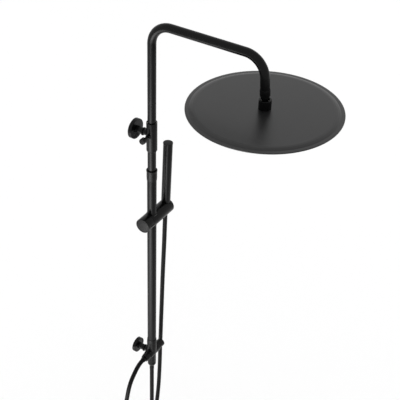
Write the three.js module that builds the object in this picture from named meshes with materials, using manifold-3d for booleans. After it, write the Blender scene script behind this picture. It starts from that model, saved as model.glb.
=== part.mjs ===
// Rainfall shower column: a wall-hung riser rail with a swan arm, a flat round overhead
// head on a ball joint, a stick handset in a sliding cradle and a diverter at its foot.
// Millimetres. +Z is up, +Y points into the wall and -Y into the room, +X is to the right
// of somebody who faces the wall. The origin is the centre of the upper bracket's wall face.
import * as THREE from 'three';
import { mergeVertices } from 'three/addons/utils/BufferGeometryUtils.js';
import Module from 'manifold-3d';

const wasm = await Module();
wasm.setup();

// ---- driving dimensions ---------------------------------------------------------------
const GAP = 0.3;                    // clearance between pieces that touch
const SMALL = 10;                   // sides of screws, spigots and bores
const ROUND = 16;                   // sides of an ordinary round piece
const WIDE = 28;                    // sides of the slider and the rosettes
const FINE = 48;                    // sides of the overhead head

const WALL_GAP = 55;                // wall to the column's axis
const BRACKET_SPACING = 755;        // upper bracket to lower bracket
const ARM_HEIGHT = 305;             // arm's centreline above the upper bracket
const ARM_REACH = 300;              // column's axis to the arm's outer corner
const BEND_RADIUS = 53;             // centreline radius of both bends
const DROP_LEAN = THREE.MathUtils.degToRad(4.4);   // outward lean of the arm's drop

const RISER_R = 11;                 // upper, telescoping tube
const RAIL_R = 12.5;                // lower tube, which carries the slider
const TUBE_WALL = 1.2;
const RISER_INSERT = 212;           // riser's length inside the rail
const COLLAR_DROP = 122;            // upper bracket to the middle of the telescopic collar

const SLEEVE_R = 14;                // bracket sleeve round the riser
const SLEEVE_TOP = 36;
const SLEEVE_BOTTOM = -48;
const BUSH_WALL = 1.1;

const FLANGE_DEPTH = 10;            // wall rosettes
const ROSETTE_WALL = 1.6;
const UPPER_FLANGE_R = 27;
const LOWER_FLANGE_R = 22.5;
const STEM_R = 9;
const STEM_LENGTH = 28;             // wall to the stem's front end
const STEM_RING = 3;                // thickness of the ring in front of a stem
const STUD_R = 4;
const BOSS_R = 8;

const HEAD_R = 180;                 // overhead shower
const HEAD_HEIGHT = 181;            // its top face above the upper bracket
const HEAD_SKIN = 1.5;
const HEAD_FLAT_R = 158;            // where the top face starts to fall to the lip
const HEAD_LIP = 9;                 // width of the flat lip
const HEAD_FALL = 3.3;              // lip's top below the top face
const HEAD_DEPTH = 6.2;             // lip's underside below the top face
const PLATE = 1.5;                  // spray plate
const BALL_R = 9.5;
const BALL_ABOVE_HEAD = 12;
const BALL_NUT_R = 14.9;
const BALL_NUT_TOP = 11.4;          // above the ball's centre
const END_RING_R = 12;
const END_RING_LENGTH = 16.4;
const NOZZLE_RINGS = 3;
const NOZZLE_PITCH = 45;            // between the rings of nozzles
const NOZZLE_R = 1.8;

const SLIDER_DROP = 263;            // upper bracket to the slider's axis
const SLIDER_R = 20.4;
const SLIDER_END = 75.6;            // column's axis to the cradle's end
const SEAM = 17;                    // column's axis to the seam at the locking knob
const KNOB_END = 43;                // column's axis to the locking knob's end
const CRADLE_X = 65;
const HANDSET_R = 12.5;
const HANDSET_LENGTH = 199;
const HANDSET_LEAN = THREE.MathUtils.degToRad(1.6);
const CONE_TOP = 4;                 // top of the hose cone above the slider's axis
const CONE_TOP_R = 12.2;            // cradle's taper at that height
const CONE_BOTTOM_R = 8.9;          // cradle's taper at the slider's underside

const DIVERTER_RISE = 37;           // lower bracket's centre to the diverter's top
const DIVERTER_FALL = 39;           // lower bracket's centre to the diverter's foot
const DIVERTER_TOP = DIVERTER_RISE - BRACKET_SPACING;
const DIVERTER_BOTTOM = -DIVERTER_FALL - BRACKET_SPACING;
const SOCKET_WALL = 1.5;            // diverter's wall round the rail's end
const DIVERTER_R = RAIL_R + SOCKET_WALL;
const DIVERTER_FOOT_R = 12.6;
const VALVE_R = 13.5;               // cross barrel
const VALVE_LEFT = 20;              // outlet side, from the column's axis
const VALVE_RIGHT = 26;             // knob side
const KNOB_R = 12.3;
const KNOB_LENGTH = 22;
const THREAD_R = 8.2;               // half-inch hose thread
const NIPPLE_BORE = 4;

const HOSE_R = 6.25;
const HOSE_SIDES = 10;
const SUPPLY_LENGTH = 485.9;        // supply hose between its two ferrules

// ---- materials ------------------------------------------------------------------------
function finish(color, roughness, metalness) {
  return new THREE.MeshStandardMaterial({ color, roughness, metalness });
}
const MATT_BLACK = finish(0x151516, 0.42, 0.35);
const HEAD_BLACK = finish(0x1b1b1c, 0.4, 0.3);
const HOSE_BLACK = finish(0x0d0d0e, 0.35, 0.0);
const BRASS = finish(0xb08d4a, 0.35, 1.0);
const STEEL = finish(0x9a9da0, 0.3, 1.0);
const NYLON = finish(0xd9d6cc, 0.6, 0.0);
const RUBBER = finish(0x1a1a1a, 0.8, 0.0);
const SILICONE = finish(0x3a3a3c, 0.7, 0.0);

// ---- geometry helpers -----------------------------------------------------------------
// Welds a geometry, keeps only its positions and turns its faces outward.
function welded(geometry) {
  const plain = geometry.clone();
  plain.deleteAttribute('normal');
  plain.deleteAttribute('uv');
  const merged = mergeVertices(plain, 1e-4);
  const at = merged.attributes.position;
  const index = merged.index.array;
  const [a, b, c] = [new THREE.Vector3(), new THREE.Vector3(), new THREE.Vector3()];
  const kept = [];
  let volume = 0;
  for (let i = 0; i < index.length; i += 3) {
    const face = [index[i], index[i + 1], index[i + 2]];
    if (new Set(face).size < 3) continue;
    kept.push(...face);
    a.fromBufferAttribute(at, face[0]);
    b.fromBufferAttribute(at, face[1]);
    c.fromBufferAttribute(at, face[2]);
    volume += a.dot(b.cross(c));
  }
  if (volume < 0) {
    for (let i = 0; i < kept.length; i += 3) {
      [kept[i], kept[i + 1]] = [kept[i + 1], kept[i]];
    }
  }
  merged.setIndex(kept);
  return merged;
}

// A piece turned about +Z from a closed profile of [radius, height] points.
function turned(profile, sides = ROUND) {
  const points = profile.map(([r, z]) => new THREE.Vector2(r, z));
  points.push(points[0].clone());
  return welded(new THREE.LatheGeometry(points, sides).rotateX(Math.PI / 2));
}

// A solid rod and a hollow ring along +Z.
function rod(radius, low, high, sides = ROUND) {
  return turned([[0, low], [radius, low], [radius, high], [0, high]], sides);
}
function ring(inner, outer, low, high, sides = ROUND) {
  return turned([[inner, low], [outer, low], [outer, high], [inner, high]], sides);
}

function box(x, y, z) {
  return welded(new THREE.BoxGeometry(x[1] - x[0], y[1] - y[0], z[1] - z[0]))
    .translate((x[0] + x[1]) / 2, (y[0] + y[1]) / 2, (z[0] + z[1]) / 2);
}

// Turns a geometry from +Z to another direction.
const UP = new THREE.Vector3(0, 0, 1);
function aimed(geometry, x, y, z) {
  const turn = new THREE.Quaternion().setFromUnitVectors(UP, new THREE.Vector3(x, y, z).normalize());
  return geometry.applyQuaternion(turn);
}
const toLeft = (geometry) => aimed(geometry, -1, 0, 0);
const toRight = (geometry) => aimed(geometry, 1, 0, 0);
const toWall = (geometry) => aimed(geometry, 0, 1, 0);

// Boolean joins and cuts.
function manifoldOf(geometry) {
  const closed = welded(geometry);
  return new wasm.Manifold(new wasm.Mesh({
    numProp: 3,
    vertProperties: new Float32Array(closed.attributes.position.array),
    triVerts: new Uint32Array(closed.index.array),
  }));
}
function geometryOf(manifold) {
  const mesh = manifold.getMesh();
  const geometry = new THREE.BufferGeometry();
  geometry.setAttribute('position', new THREE.BufferAttribute(mesh.vertProperties, 3));
  geometry.setIndex(new THREE.BufferAttribute(mesh.triVerts, 1));
  return geometry;
}
function shaped(base, joins, cuts) {
  let body = manifoldOf(base);
  for (const geometry of joins) body = body.add(manifoldOf(geometry));
  for (const geometry of cuts) body = body.subtract(manifoldOf(geometry));
  return geometryOf(body);
}

// A path through stations, with one section of the tube at each of them.
class Stations extends THREE.Curve {
  constructor(points) {
    super();
    this.points = points;
  }
  getPoint(t, target = new THREE.Vector3()) {
    const along = t * (this.points.length - 1);
    const i = Math.min(Math.floor(along), this.points.length - 2);
    return target.lerpVectors(this.points[i], this.points[i + 1], along - i);
  }
  getPointAt(t, target) {
    return this.getPoint(t, target);
  }
  getTangentAt(t, target) {
    return this.getTangent(t, target);
  }
}
function circle(radius, sides) {
  const points = [];
  for (let i = 0; i < sides; i += 1) {
    const angle = (2 * Math.PI * i) / sides;
    points.push(new THREE.Vector2(radius * Math.cos(angle), radius * Math.sin(angle)));
  }
  return points;
}
function pipe(points, outer, inner, sides) {
  const section = new THREE.Shape(circle(outer, sides));
  if (inner > 0) section.holes.push(new THREE.Path(circle(inner, sides).reverse()));
  const path = new Stations(points);
  return welded(new THREE.ExtrudeGeometry(section, { steps: points.length - 1, extrudePath: path }));
}

// ---- assembly -------------------------------------------------------------------------
const part = new THREE.Group();
const column = new THREE.Group();           // its Z axis is the column's axis
column.position.y = -WALL_GAP;
part.add(column);

function place(parent, name, geometry, material, x = 0, y = 0, z = 0) {
  const mesh = new THREE.Mesh(geometry, material);
  mesh.name = name;
  mesh.position.set(x, y, z);
  parent.add(mesh);
  return mesh;
}

// ---- wall brackets --------------------------------------------------------------------
// Each is a base screwed to the wall, a rosette over it, a stem on the base's spigot and
// a thin ring where the stem meets the piece that it holds. Local +Z leaves the wall.
const BASE = 5;                     // thickness of the wall base
const SPIGOT_R = 6;
const SPIGOT_LENGTH = 10;
const SCREW_R = 2.2;
const SCREW_HEAD_R = 4.2;
const SCREW_HEAD = 2.2;
const STUD_LENGTH = 7;

function wallBracket(prefix, z, flangeR) {
  const bracket = new THREE.Group();
  bracket.position.z = z;
  bracket.rotation.x = Math.PI / 2;
  part.add(bracket);
  const baseR = flangeR - ROSETTE_WALL - 1.2;
  const screwX = (baseR + SPIGOT_R + 3) / 2 + 0.5;
  const base = shaped(
    rod(baseR, 0, BASE),
    [rod(SPIGOT_R, BASE - 1, BASE + SPIGOT_LENGTH)],
    [-1, 1].map((side) => rod(SCREW_R + GAP, -1, BASE + 1, SMALL).translate(side * screwX, 0, 0)),
  );
  place(bracket, `${prefix}_wall_base`, base, BRASS);
  for (const [side, word] of [[-1, 'left'], [1, 'right']]) {
    const low = BASE + GAP;
    const screw = turned([
      [0, 0], [SCREW_R, 0], [SCREW_R, low], [SCREW_HEAD_R, low],
      [SCREW_HEAD_R * 0.8, low + SCREW_HEAD], [0, low + SCREW_HEAD],
    ], SMALL);
    place(bracket, `${prefix}_wall_screw_${word}`, screw, STEEL, side * screwX);
  }
  const rosette = turned([
    [flangeR, 0], [flangeR, FLANGE_DEPTH - 1], [flangeR - 1, FLANGE_DEPTH],
    [STEM_R + GAP, FLANGE_DEPTH], [STEM_R + GAP, FLANGE_DEPTH - ROSETTE_WALL],
    [flangeR - ROSETTE_WALL, FLANGE_DEPTH - ROSETTE_WALL], [flangeR - ROSETTE_WALL, 0],
  ], WIDE);
  place(bracket, `${prefix}_rosette`, rosette, MATT_BLACK);
  const stem = shaped(rod(STEM_R, BASE + GAP, STEM_LENGTH), [], [
    rod(SPIGOT_R + GAP, 0, BASE + SPIGOT_LENGTH + GAP),
    rod(STUD_R + GAP, STEM_LENGTH - STUD_LENGTH, STEM_LENGTH + 1, SMALL),
  ]);
  place(bracket, `${prefix}_stem`, stem, MATT_BLACK);
  const low = STEM_LENGTH + GAP;
  const collar = turned([
    [STUD_R + GAP, low], [STEM_R + 1, low], [STEM_R + 1.8, low + 0.8],
    [STEM_R + 1.8, low + STEM_RING - 0.8], [STEM_R + 1, low + STEM_RING],
    [STUD_R + GAP, low + STEM_RING],
  ]);
  place(bracket, `${prefix}_stem_ring`, collar, MATT_BLACK);
}
wallBracket('upper', 0, UPPER_FLANGE_R);
wallBracket('lower', -BRACKET_SPACING, LOWER_FLANGE_R);

// The boss and stud with which a sleeve or the diverter is screwed into its stem.
const BOSS_END = WALL_GAP - STEM_LENGTH - STEM_RING - 2 * GAP;
const STUD_END = WALL_GAP - STEM_LENGTH + STUD_LENGTH - 1;
function wallBoss() {
  return [toWall(rod(BOSS_R, 5, BOSS_END)), toWall(rod(STUD_R, 5, STUD_END, SMALL))];
}

// ---- upper bracket's sleeve -----------------------------------------------------------
const BUSH_IN = RISER_R + GAP;
const BUSH_OUT = BUSH_IN + BUSH_WALL;
const SCREW_BOSS_END = SLEEVE_R + 5;
const CLAMP_R = 3;                  // thumbscrew's shank
const TIP = BUSH_OUT + 0.5;         // where the shank starts, outside the bush
const sleeve = shaped(
  turned([
    [0, SLEEVE_BOTTOM], [SLEEVE_R - 1.4, SLEEVE_BOTTOM], [SLEEVE_R, SLEEVE_BOTTOM + 2.2],
    [SLEEVE_R, SLEEVE_TOP - 0.6], [SLEEVE_R - 0.6, SLEEVE_TOP], [0, SLEEVE_TOP],
  ]),
  [...wallBoss(), toLeft(rod(6.5, 5, SCREW_BOSS_END))],
  [
    rod(BUSH_OUT + GAP, SLEEVE_BOTTOM - 1, SLEEVE_TOP + 1),
    toLeft(rod(CLAMP_R + GAP, 5, SCREW_BOSS_END + 1, SMALL)),
  ],
);
place(column, 'bracket_sleeve', sleeve, MATT_BLACK);
const sleeveBush = shaped(
  ring(BUSH_IN, BUSH_OUT, SLEEVE_BOTTOM + 3, SLEEVE_TOP - 2),
  [],
  [toLeft(rod(CLAMP_R + GAP, 5, BUSH_OUT + 2, SMALL))],
);
place(column, 'sleeve_bush', sleeveBush, NYLON);
place(column, 'thumbscrew_pad', toLeft(rod(CLAMP_R - 0.2, BUSH_IN + 0.1, TIP, SMALL)), NYLON);
const THUMB_NECK_END = 32;
const THUMB_END = 44;
const thumbscrew = turned([
  [0, TIP + GAP], [CLAMP_R, TIP + GAP], [CLAMP_R, SCREW_BOSS_END + GAP],
  [4.5, SCREW_BOSS_END + GAP], [4.5, THUMB_NECK_END], [8, THUMB_NECK_END + 1],
  [8, THUMB_END - 1], [7, THUMB_END], [0, THUMB_END],
], ROUND);
place(column, 'thumbscrew', toLeft(thumbscrew), MATT_BLACK);

// ---- riser with the swan arm ----------------------------------------------------------
const COLLAR_TOP = -COLLAR_DROP + 15.5;
const COLLAR_BOTTOM = -COLLAR_DROP - 16;
const RAIL_TOP = COLLAR_TOP - 11.5;
const RAIL_BOTTOM = DIVERTER_TOP - 20;
const RISER_BOTTOM = RAIL_TOP - RISER_INSERT;
const BALL_DROP = (ARM_HEIGHT - HEAD_HEIGHT - BALL_ABOVE_HEAD) / Math.cos(DROP_LEAN);
const NECK_LOW = BALL_NUT_TOP + 2.1;         // heights above the ball's centre
const RING_LOW = NECK_LOW + 6.3;
const TUBE_LOW = RING_LOW + 2.4;

const drop = new THREE.Group();              // its -Z runs down the arm's drop
drop.position.set(0, -ARM_REACH, ARM_HEIGHT);
drop.rotation.x = -DROP_LEAN;
column.add(drop);

function riserStations() {
  const steps = 8;
  const points = [new THREE.Vector3(0, 0, RISER_BOTTOM)];
  for (let i = 0; i <= steps; i += 1) {
    const angle = (Math.PI / 2) * (i / steps);
    const out = BEND_RADIUS * (1 - Math.cos(angle));
    points.push(new THREE.Vector3(0, -out, ARM_HEIGHT - BEND_RADIUS * (1 - Math.sin(angle))));
  }
  const turn = Math.PI / 2 - DROP_LEAN;
  const start = ARM_REACH - BEND_RADIUS * Math.tan(turn / 2);
  for (let i = 0; i <= steps; i += 1) {
    const angle = turn * (i / steps);
    const fall = BEND_RADIUS * (1 - Math.cos(angle));
    points.push(new THREE.Vector3(0, -start - BEND_RADIUS * Math.sin(angle), ARM_HEIGHT - fall));
  }
  const length = BALL_DROP - TUBE_LOW;
  const end = new THREE.Vector3(0, -Math.sin(DROP_LEAN), -Math.cos(DROP_LEAN)).multiplyScalar(length);
  points.push(end.add(drop.position));
  return points;
}
place(column, 'riser_arm_tube', pipe(riserStations(), RISER_R, RISER_R - TUBE_WALL, ROUND), MATT_BLACK);

const PISTON = 12;
const PISTON_BORE = 6.5;
const PISTON_R = RAIL_R - TUBE_WALL - GAP;   // runs in the rail's bore
const GROOVE_R = PISTON_R - 1.6;
const pistonTop = RISER_BOTTOM - GAP;
const grooveMid = pistonTop - PISTON / 2;
const piston = turned([
  [PISTON_BORE, pistonTop - PISTON], [PISTON_R, pistonTop - PISTON], [PISTON_R, grooveMid - 1.6],
  [GROOVE_R, grooveMid - 1.6], [GROOVE_R, grooveMid + 1.6], [PISTON_R, grooveMid + 1.6],
  [PISTON_R, pistonTop], [RISER_R - TUBE_WALL - GAP, pistonTop],
  [RISER_R - TUBE_WALL - GAP, pistonTop + 10], [PISTON_BORE, pistonTop + 10],
]);
place(column, 'riser_piston', piston, BRASS);
const SEAL_OUT = RAIL_R - TUBE_WALL - 0.2;
place(column, 'riser_seal', ring(GROOVE_R + GAP, SEAL_OUT, grooveMid - 1.2, grooveMid + 1.2), RUBBER);

const endRing = turned([
  [RISER_R - TUBE_WALL, RING_LOW], [END_RING_R - 0.5, RING_LOW], [END_RING_R, RING_LOW + 0.5],
  [END_RING_R, RING_LOW + END_RING_LENGTH - 0.5], [END_RING_R - 0.3, RING_LOW + END_RING_LENGTH],
  [RISER_R + GAP, RING_LOW + END_RING_LENGTH], [RISER_R + GAP, TUBE_LOW - GAP],
  [RISER_R - TUBE_WALL, TUBE_LOW - GAP],
]);
place(drop, 'arm_end_ring', endRing, MATT_BLACK, 0, 0, -BALL_DROP);

// Ball with its hollow stem, which is screwed into the arm's end.
const STEM_THIN = 6.5;
const NECK_R = 9.8;
const NECK_CONE = 1.6;              // coned so that the head can tilt
const BALL_BORE = 4;
function arc(radius, from, to, steps) {
  const points = [];
  for (let i = 0; i <= steps; i += 1) {
    const angle = THREE.MathUtils.degToRad(from + ((to - from) * i) / steps);
    points.push([radius * Math.cos(angle), radius * Math.sin(angle)]);
  }
  return points;
}
const boreAngle = THREE.MathUtils.radToDeg(Math.asin(BALL_BORE / BALL_R)) - 90;
const stemAngle = THREE.MathUtils.radToDeg(Math.acos(STEM_THIN / BALL_R));
const ballStem = turned([
  ...arc(BALL_R, boreAngle, stemAngle, 8),
  [STEM_THIN, NECK_LOW], [NECK_R, NECK_LOW + NECK_CONE], [NECK_R, RING_LOW - GAP],
  [RISER_R - TUBE_WALL - GAP, RING_LOW - GAP], [RISER_R - TUBE_WALL - GAP, TUBE_LOW + 12],
  [BALL_BORE, TUBE_LOW + 12],
]);
place(drop, 'arm_ball', ballStem, BRASS, 0, 0, -BALL_DROP);

// ---- overhead head --------------------------------------------------------------------
const head = new THREE.Group();              // its origin is the ball's centre
head.position.copy(drop.position).add(
  new THREE.Vector3(0, -Math.sin(DROP_LEAN), -Math.cos(DROP_LEAN)).multiplyScalar(BALL_DROP),
);
column.add(head);
const SEAT_IN = BALL_R + GAP;
const SEAT_OUT = SEAT_IN + 1;
const CAVITY_R = SEAT_OUT + GAP;
const MOUTH_HEIGHT = 6.6;
const MOUTH_R = 10.5;               // nut's flared mouth
const mouthAngle = THREE.MathUtils.radToDeg(Math.asin(MOUTH_HEIGHT / CAVITY_R));
const nutLow = GAP - BALL_ABOVE_HEAD;
const ballNut = turned([
  ...arc(CAVITY_R, mouthAngle, 0, 6),
  [CAVITY_R, nutLow], [BALL_NUT_R, nutLow], [BALL_NUT_R, BALL_NUT_TOP - 1.2],
  [BALL_NUT_R - 1.2, BALL_NUT_TOP], [MOUTH_R, BALL_NUT_TOP],
]);
place(head, 'head_ball_nut', ballNut, MATT_BLACK);
function seat(from, to) {
  return turned([...arc(SEAT_OUT, from, to, 4), ...arc(SEAT_IN, to, from, 4)]);
}
place(head, 'ball_seat_upper', seat(8, 30), NYLON);
place(head, 'ball_seat_lower', seat(-50, -14), RUBBER);

const PLATE_R = HEAD_R - 4.6;
const INLET_R = 6;
const lipTop = -HEAD_FALL;
const lipIn = HEAD_R - HEAD_LIP;
const plateTop = -HEAD_DEPTH + PLATE - 0.5;
const shell = turned([
  [INLET_R, 0], [HEAD_FLAT_R, 0], [HEAD_FLAT_R + 5, -0.5], [lipIn - 3, -1.9],
  [lipIn, lipTop], [HEAD_R - 1, lipTop], [HEAD_R, lipTop - 0.8],
  [HEAD_R, -HEAD_DEPTH + 0.8], [HEAD_R - 0.8, -HEAD_DEPTH], [PLATE_R + GAP, -HEAD_DEPTH],
  [PLATE_R + GAP, plateTop + GAP], [lipIn - 1, plateTop + GAP], [lipIn - 4, -3.4],
  [HEAD_FLAT_R, -HEAD_SKIN], [INLET_R, -HEAD_SKIN],
], FINE);
place(head, 'head_shell', shell, HEAD_BLACK, 0, 0, -BALL_ABOVE_HEAD);

function nozzlePlaces() {
  const places = [[0, 0]];
  for (let row = 1; row <= NOZZLE_RINGS; row += 1) {
    for (let i = 0; i < 6 * row; i += 1) {
      const angle = (2 * Math.PI * (i + 0.5 * (row % 2))) / (6 * row);
      places.push([row * NOZZLE_PITCH * Math.cos(angle), row * NOZZLE_PITCH * Math.sin(angle)]);
    }
  }
  return places;
}
const MAT_R = NOZZLE_RINGS * NOZZLE_PITCH + 8;
const matLow = plateTop + GAP;
const spots = nozzlePlaces();
const plate = shaped(
  rod(PLATE_R, plateTop - PLATE, plateTop, FINE),
  [],
  spots.map(([x, y]) => rod(NOZZLE_R + GAP, plateTop - 3, plateTop + 1, 6).translate(x, y, 0)),
);
place(head, 'spray_plate', plate, HEAD_BLACK, 0, 0, -BALL_ABOVE_HEAD);
const mat = shaped(
  rod(MAT_R, matLow, matLow + 1, ROUND),
  spots.map(([x, y]) => rod(NOZZLE_R, plateTop - PLATE - 1.3, matLow + 0.5, 6).translate(x, y, 0)),
  [],
);
place(head, 'nozzle_mat', mat, SILICONE, 0, 0, -BALL_ABOVE_HEAD);

// ---- rail and telescopic collar -------------------------------------------------------
place(column, 'rail_tube', ring(RAIL_R - TUBE_WALL, RAIL_R, RAIL_BOTTOM, RAIL_TOP, ROUND), MATT_BLACK);
const COLLAR_IN = RAIL_R + GAP;
const collar = turned([
  [COLLAR_IN, COLLAR_BOTTOM], [COLLAR_IN + 0.5, COLLAR_BOTTOM],
  [RAIL_R + 1.3, COLLAR_BOTTOM + 9.5], [RAIL_R + 1.3, COLLAR_TOP - 6],
  [RAIL_R + 2, COLLAR_TOP - 2.5], [RAIL_R + 2, COLLAR_TOP - 0.5], [RAIL_R + 1.6, COLLAR_TOP],
  [RISER_R + 0.6, COLLAR_TOP], [RISER_R + 0.6, COLLAR_TOP - 3.5], [COLLAR_IN, COLLAR_TOP - 3.5],
]);
place(column, 'telescopic_collar', collar, MATT_BLACK);
place(
  column, 'collar_bush', ring(RISER_R + GAP, RAIL_R, RAIL_TOP + GAP, COLLAR_TOP - 3.5 - GAP), NYLON,
);

// ---- slider ---------------------------------------------------------------------------
const slider = new THREE.Group();            // its origin is on both axes
slider.position.z = -SLIDER_DROP;
column.add(slider);
const GUIDE_IN = RAIL_R + GAP;
const GUIDE_OUT = GUIDE_IN + 1.5;
const GUIDE_BORE = GUIDE_OUT + GAP;
const CLAMP_SCREW_R = 5;
const SCREW_COVER = 8;              // knob's metal beyond the clamp screw
const UNDER = -SLIDER_R;                     // slider's underside
function cradleHole() {
  const slope = (CONE_TOP_R - CONE_BOTTOM_R) / (CONE_TOP - UNDER);
  return turned([
    [0, UNDER - 6], [CONE_BOTTOM_R - 6 * slope, UNDER - 6], [CONE_TOP_R, CONE_TOP],
    [HANDSET_R + 0.7, CONE_TOP], [HANDSET_R + 0.7, SLIDER_R + 6], [0, SLIDER_R + 6],
  ]).rotateX(HANDSET_LEAN).translate(CRADLE_X, 0, 0);
}
const HOSE_SLOT = HOSE_R + 0.9;
const sliderBody = shaped(
  toRight(turned([
    [0, -SEAM], [SLIDER_R, -SEAM], [SLIDER_R, SLIDER_END - 0.8], [SLIDER_R - 0.8, SLIDER_END],
    [0, SLIDER_END],
  ], WIDE)),
  [],
  [
    rod(GUIDE_BORE, -SLIDER_R - 1, SLIDER_R + 1),
    cradleHole(),
    box([CRADLE_X, SLIDER_END + 1], [-HOSE_SLOT, HOSE_SLOT], [-SLIDER_R - 1, SLIDER_R + 1]),
    toLeft(rod(CLAMP_SCREW_R + GAP, 5, SEAM + 1, SMALL)),
  ],
);
place(slider, 'slider_body', sliderBody, MATT_BLACK);
const GUIDE_END = 17.5;                      // where the bush stays inside the barrel
place(slider, 'slider_bush', ring(GUIDE_IN, GUIDE_OUT, -GUIDE_END, GUIDE_END), NYLON);
const SEAM_KNOB = SEAM + GAP;
const CAP_R = 17.2;
const CAP = 1.5;
const SLOT_END = 32;
const knob = shaped(
  toLeft(turned([
    [0, SEAM_KNOB], [SLIDER_R, SEAM_KNOB], [SLIDER_R, KNOB_END - 0.8], [SLIDER_R - 0.8, KNOB_END],
    [0, KNOB_END],
  ], WIDE)),
  [],
  [
    toLeft(rod(CAP_R + GAP, KNOB_END - CAP - GAP, KNOB_END + 1, WIDE)),
    toLeft(rod(CLAMP_SCREW_R + GAP, SEAM, KNOB_END - SCREW_COVER, SMALL)),
    box([-SLOT_END, -SEAM_KNOB + 1], [-SLIDER_R - 1, -SLIDER_R + 4.5], [-1.4, 1.4]),
  ],
);
place(slider, 'slider_knob', knob, MATT_BLACK);
place(slider, 'slider_knob_cap', toLeft(rod(CAP_R, KNOB_END - CAP, KNOB_END - 0.2, WIDE)), MATT_BLACK);
// The screw squeezes the bush from outside, so that the slider can turn round the bush.
const clampScrew = toLeft(rod(CLAMP_SCREW_R, GUIDE_BORE, KNOB_END - SCREW_COVER - GAP, SMALL));
place(slider, 'slider_clamp_screw', clampScrew, BRASS);

// ---- handset --------------------------------------------------------------------------
const handset = new THREE.Group();           // its Z axis is the handset's axis
handset.position.set(CRADLE_X, 0, 0);
handset.rotation.x = HANDSET_LEAN;
slider.add(handset);
const CONE_LOW = UNDER + 1;
const NIPPLE_R = 7.5;
const NIPPLE_LOW = CONE_TOP - 11;
const coneSlope = (CONE_TOP_R - CONE_BOTTOM_R) / (CONE_TOP - UNDER);
const coneLowR = CONE_BOTTOM_R + coneSlope * (CONE_LOW - UNDER) - GAP - 0.05;
const coneTopR = CONE_TOP_R - GAP - 0.05;
const coneTop = CONE_TOP - 0.1;
const cone = turned([
  [NIPPLE_BORE, CONE_LOW], [coneLowR, CONE_LOW], [coneTopR, coneTop],
  [NIPPLE_R + GAP, coneTop], [NIPPLE_R + GAP, NIPPLE_LOW - 3], [NIPPLE_BORE, NIPPLE_LOW - 3],
]);
place(handset, 'hose_cone_nut', cone, MATT_BLACK);
place(
  handset, 'cone_washer', ring(NIPPLE_BORE, NIPPLE_R - 0.2, NIPPLE_LOW - 3 + GAP, NIPPLE_LOW - GAP, ROUND),
  RUBBER,
);
const BODY_LOW = CONE_TOP + GAP;
const bodyHigh = BODY_LOW + HANDSET_LENGTH;
const HANDSET_IN = HANDSET_R - 1.8;
const STRIP = [110, 194];                    // spray strip's ends above the slider's axis
const STRIP_HALF = 4.6;
const handsetBody = shaped(
  turned([
    [NIPPLE_BORE, NIPPLE_LOW], [NIPPLE_R, NIPPLE_LOW], [NIPPLE_R, BODY_LOW],
    [HANDSET_R - 1, BODY_LOW], [HANDSET_R, BODY_LOW + 1.2], [HANDSET_R, bodyHigh],
    [HANDSET_IN, bodyHigh], [HANDSET_IN, BODY_LOW + 9], [NIPPLE_BORE, BODY_LOW + 6],
  ]),
  [],
  [box([5, HANDSET_R + 2], [-STRIP_HALF - GAP, STRIP_HALF + GAP], [STRIP[0] - GAP, STRIP[1] + GAP])],
);
place(handset, 'handset_body', handsetBody, MATT_BLACK);
const capLow = bodyHigh + GAP;
const cap = turned([
  [0, bodyHigh - 4], [HANDSET_IN - GAP, bodyHigh - 4], [HANDSET_IN - GAP, capLow],
  [HANDSET_R + 0.3, capLow], [HANDSET_R + 0.5, capLow + 0.5], [HANDSET_R + 0.5, capLow + 2.2],
  [HANDSET_R, capLow + 2.8], [0, capLow + 2.8],
]);
place(handset, 'handset_top_cap', cap, MATT_BLACK);
const STRIP_FACE = 11.2;
const JETS = 11;
const jets = [];
for (let i = 0; i < JETS; i += 1) {
  for (const side of [-1, 1]) {
    const z = STRIP[0] + 6 + ((STRIP[1] - STRIP[0] - 12) * i) / (JETS - 1);
    jets.push(toRight(rod(0.9, STRIP_FACE - 0.5, STRIP_FACE + 1, 6)).translate(0, side * 2.1, z));
  }
}
const strip = shaped(
  box([STRIP_FACE - 2.2, STRIP_FACE], [-STRIP_HALF, STRIP_HALF], STRIP), jets, [],
);
place(handset, 'handset_spray_strip', strip, SILICONE);

// ---- diverter -------------------------------------------------------------------------
const socketRing = turned([
  [RAIL_R + GAP, DIVERTER_TOP + GAP], [DIVERTER_R + 0.2, DIVERTER_TOP + GAP],
  [DIVERTER_R + 0.2, DIVERTER_TOP + 3], [RAIL_R + 0.9, DIVERTER_TOP + 16],
  [RAIL_R + GAP, DIVERTER_TOP + 16],
]);
place(column, 'rail_socket_ring', socketRing, MATT_BLACK);

const valve = new THREE.Group();             // its origin is on both the column's and valve's axes
valve.position.z = -BRACKET_SPACING;
column.add(valve);
const bodyTop = DIVERTER_TOP + BRACKET_SPACING;
const bodyLow = DIVERTER_BOTTOM + BRACKET_SPACING;
const railEnd = RAIL_BOTTOM + BRACKET_SPACING;
const CARTRIDGE_R = 8;
const PORT_R = 6.2;                          // spigots of the two nipples
const NIPPLE_DEPTH = 12;
const diverterBody = shaped(
  turned([
    [0, bodyLow], [DIVERTER_FOOT_R - 1, bodyLow], [DIVERTER_FOOT_R, bodyLow + 1],
    [DIVERTER_FOOT_R, 0], [DIVERTER_R, 2], [DIVERTER_R, bodyTop], [0, bodyTop],
  ]),
  [toRight(rod(VALVE_R, -VALVE_LEFT, VALVE_RIGHT)), ...wallBoss()],
  [
    rod(RAIL_R + GAP, railEnd - GAP, bodyTop + 1),
    rod(7, -4, railEnd + 1, ROUND),
    rod(PORT_R + GAP, bodyLow - 1, 0, ROUND),
    toRight(rod(CARTRIDGE_R + GAP, -6, VALVE_RIGHT + 1)),
    toLeft(rod(PORT_R + GAP, 0, VALVE_LEFT + 1, ROUND)),
  ],
);
place(valve, 'diverter_body', diverterBody, MATT_BLACK);
const SPINDLE_R = 3.5;
const SPINDLE_LOW = 12;
const knobLow = VALVE_RIGHT + GAP;
const knobEnd = knobLow + KNOB_LENGTH;
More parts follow.
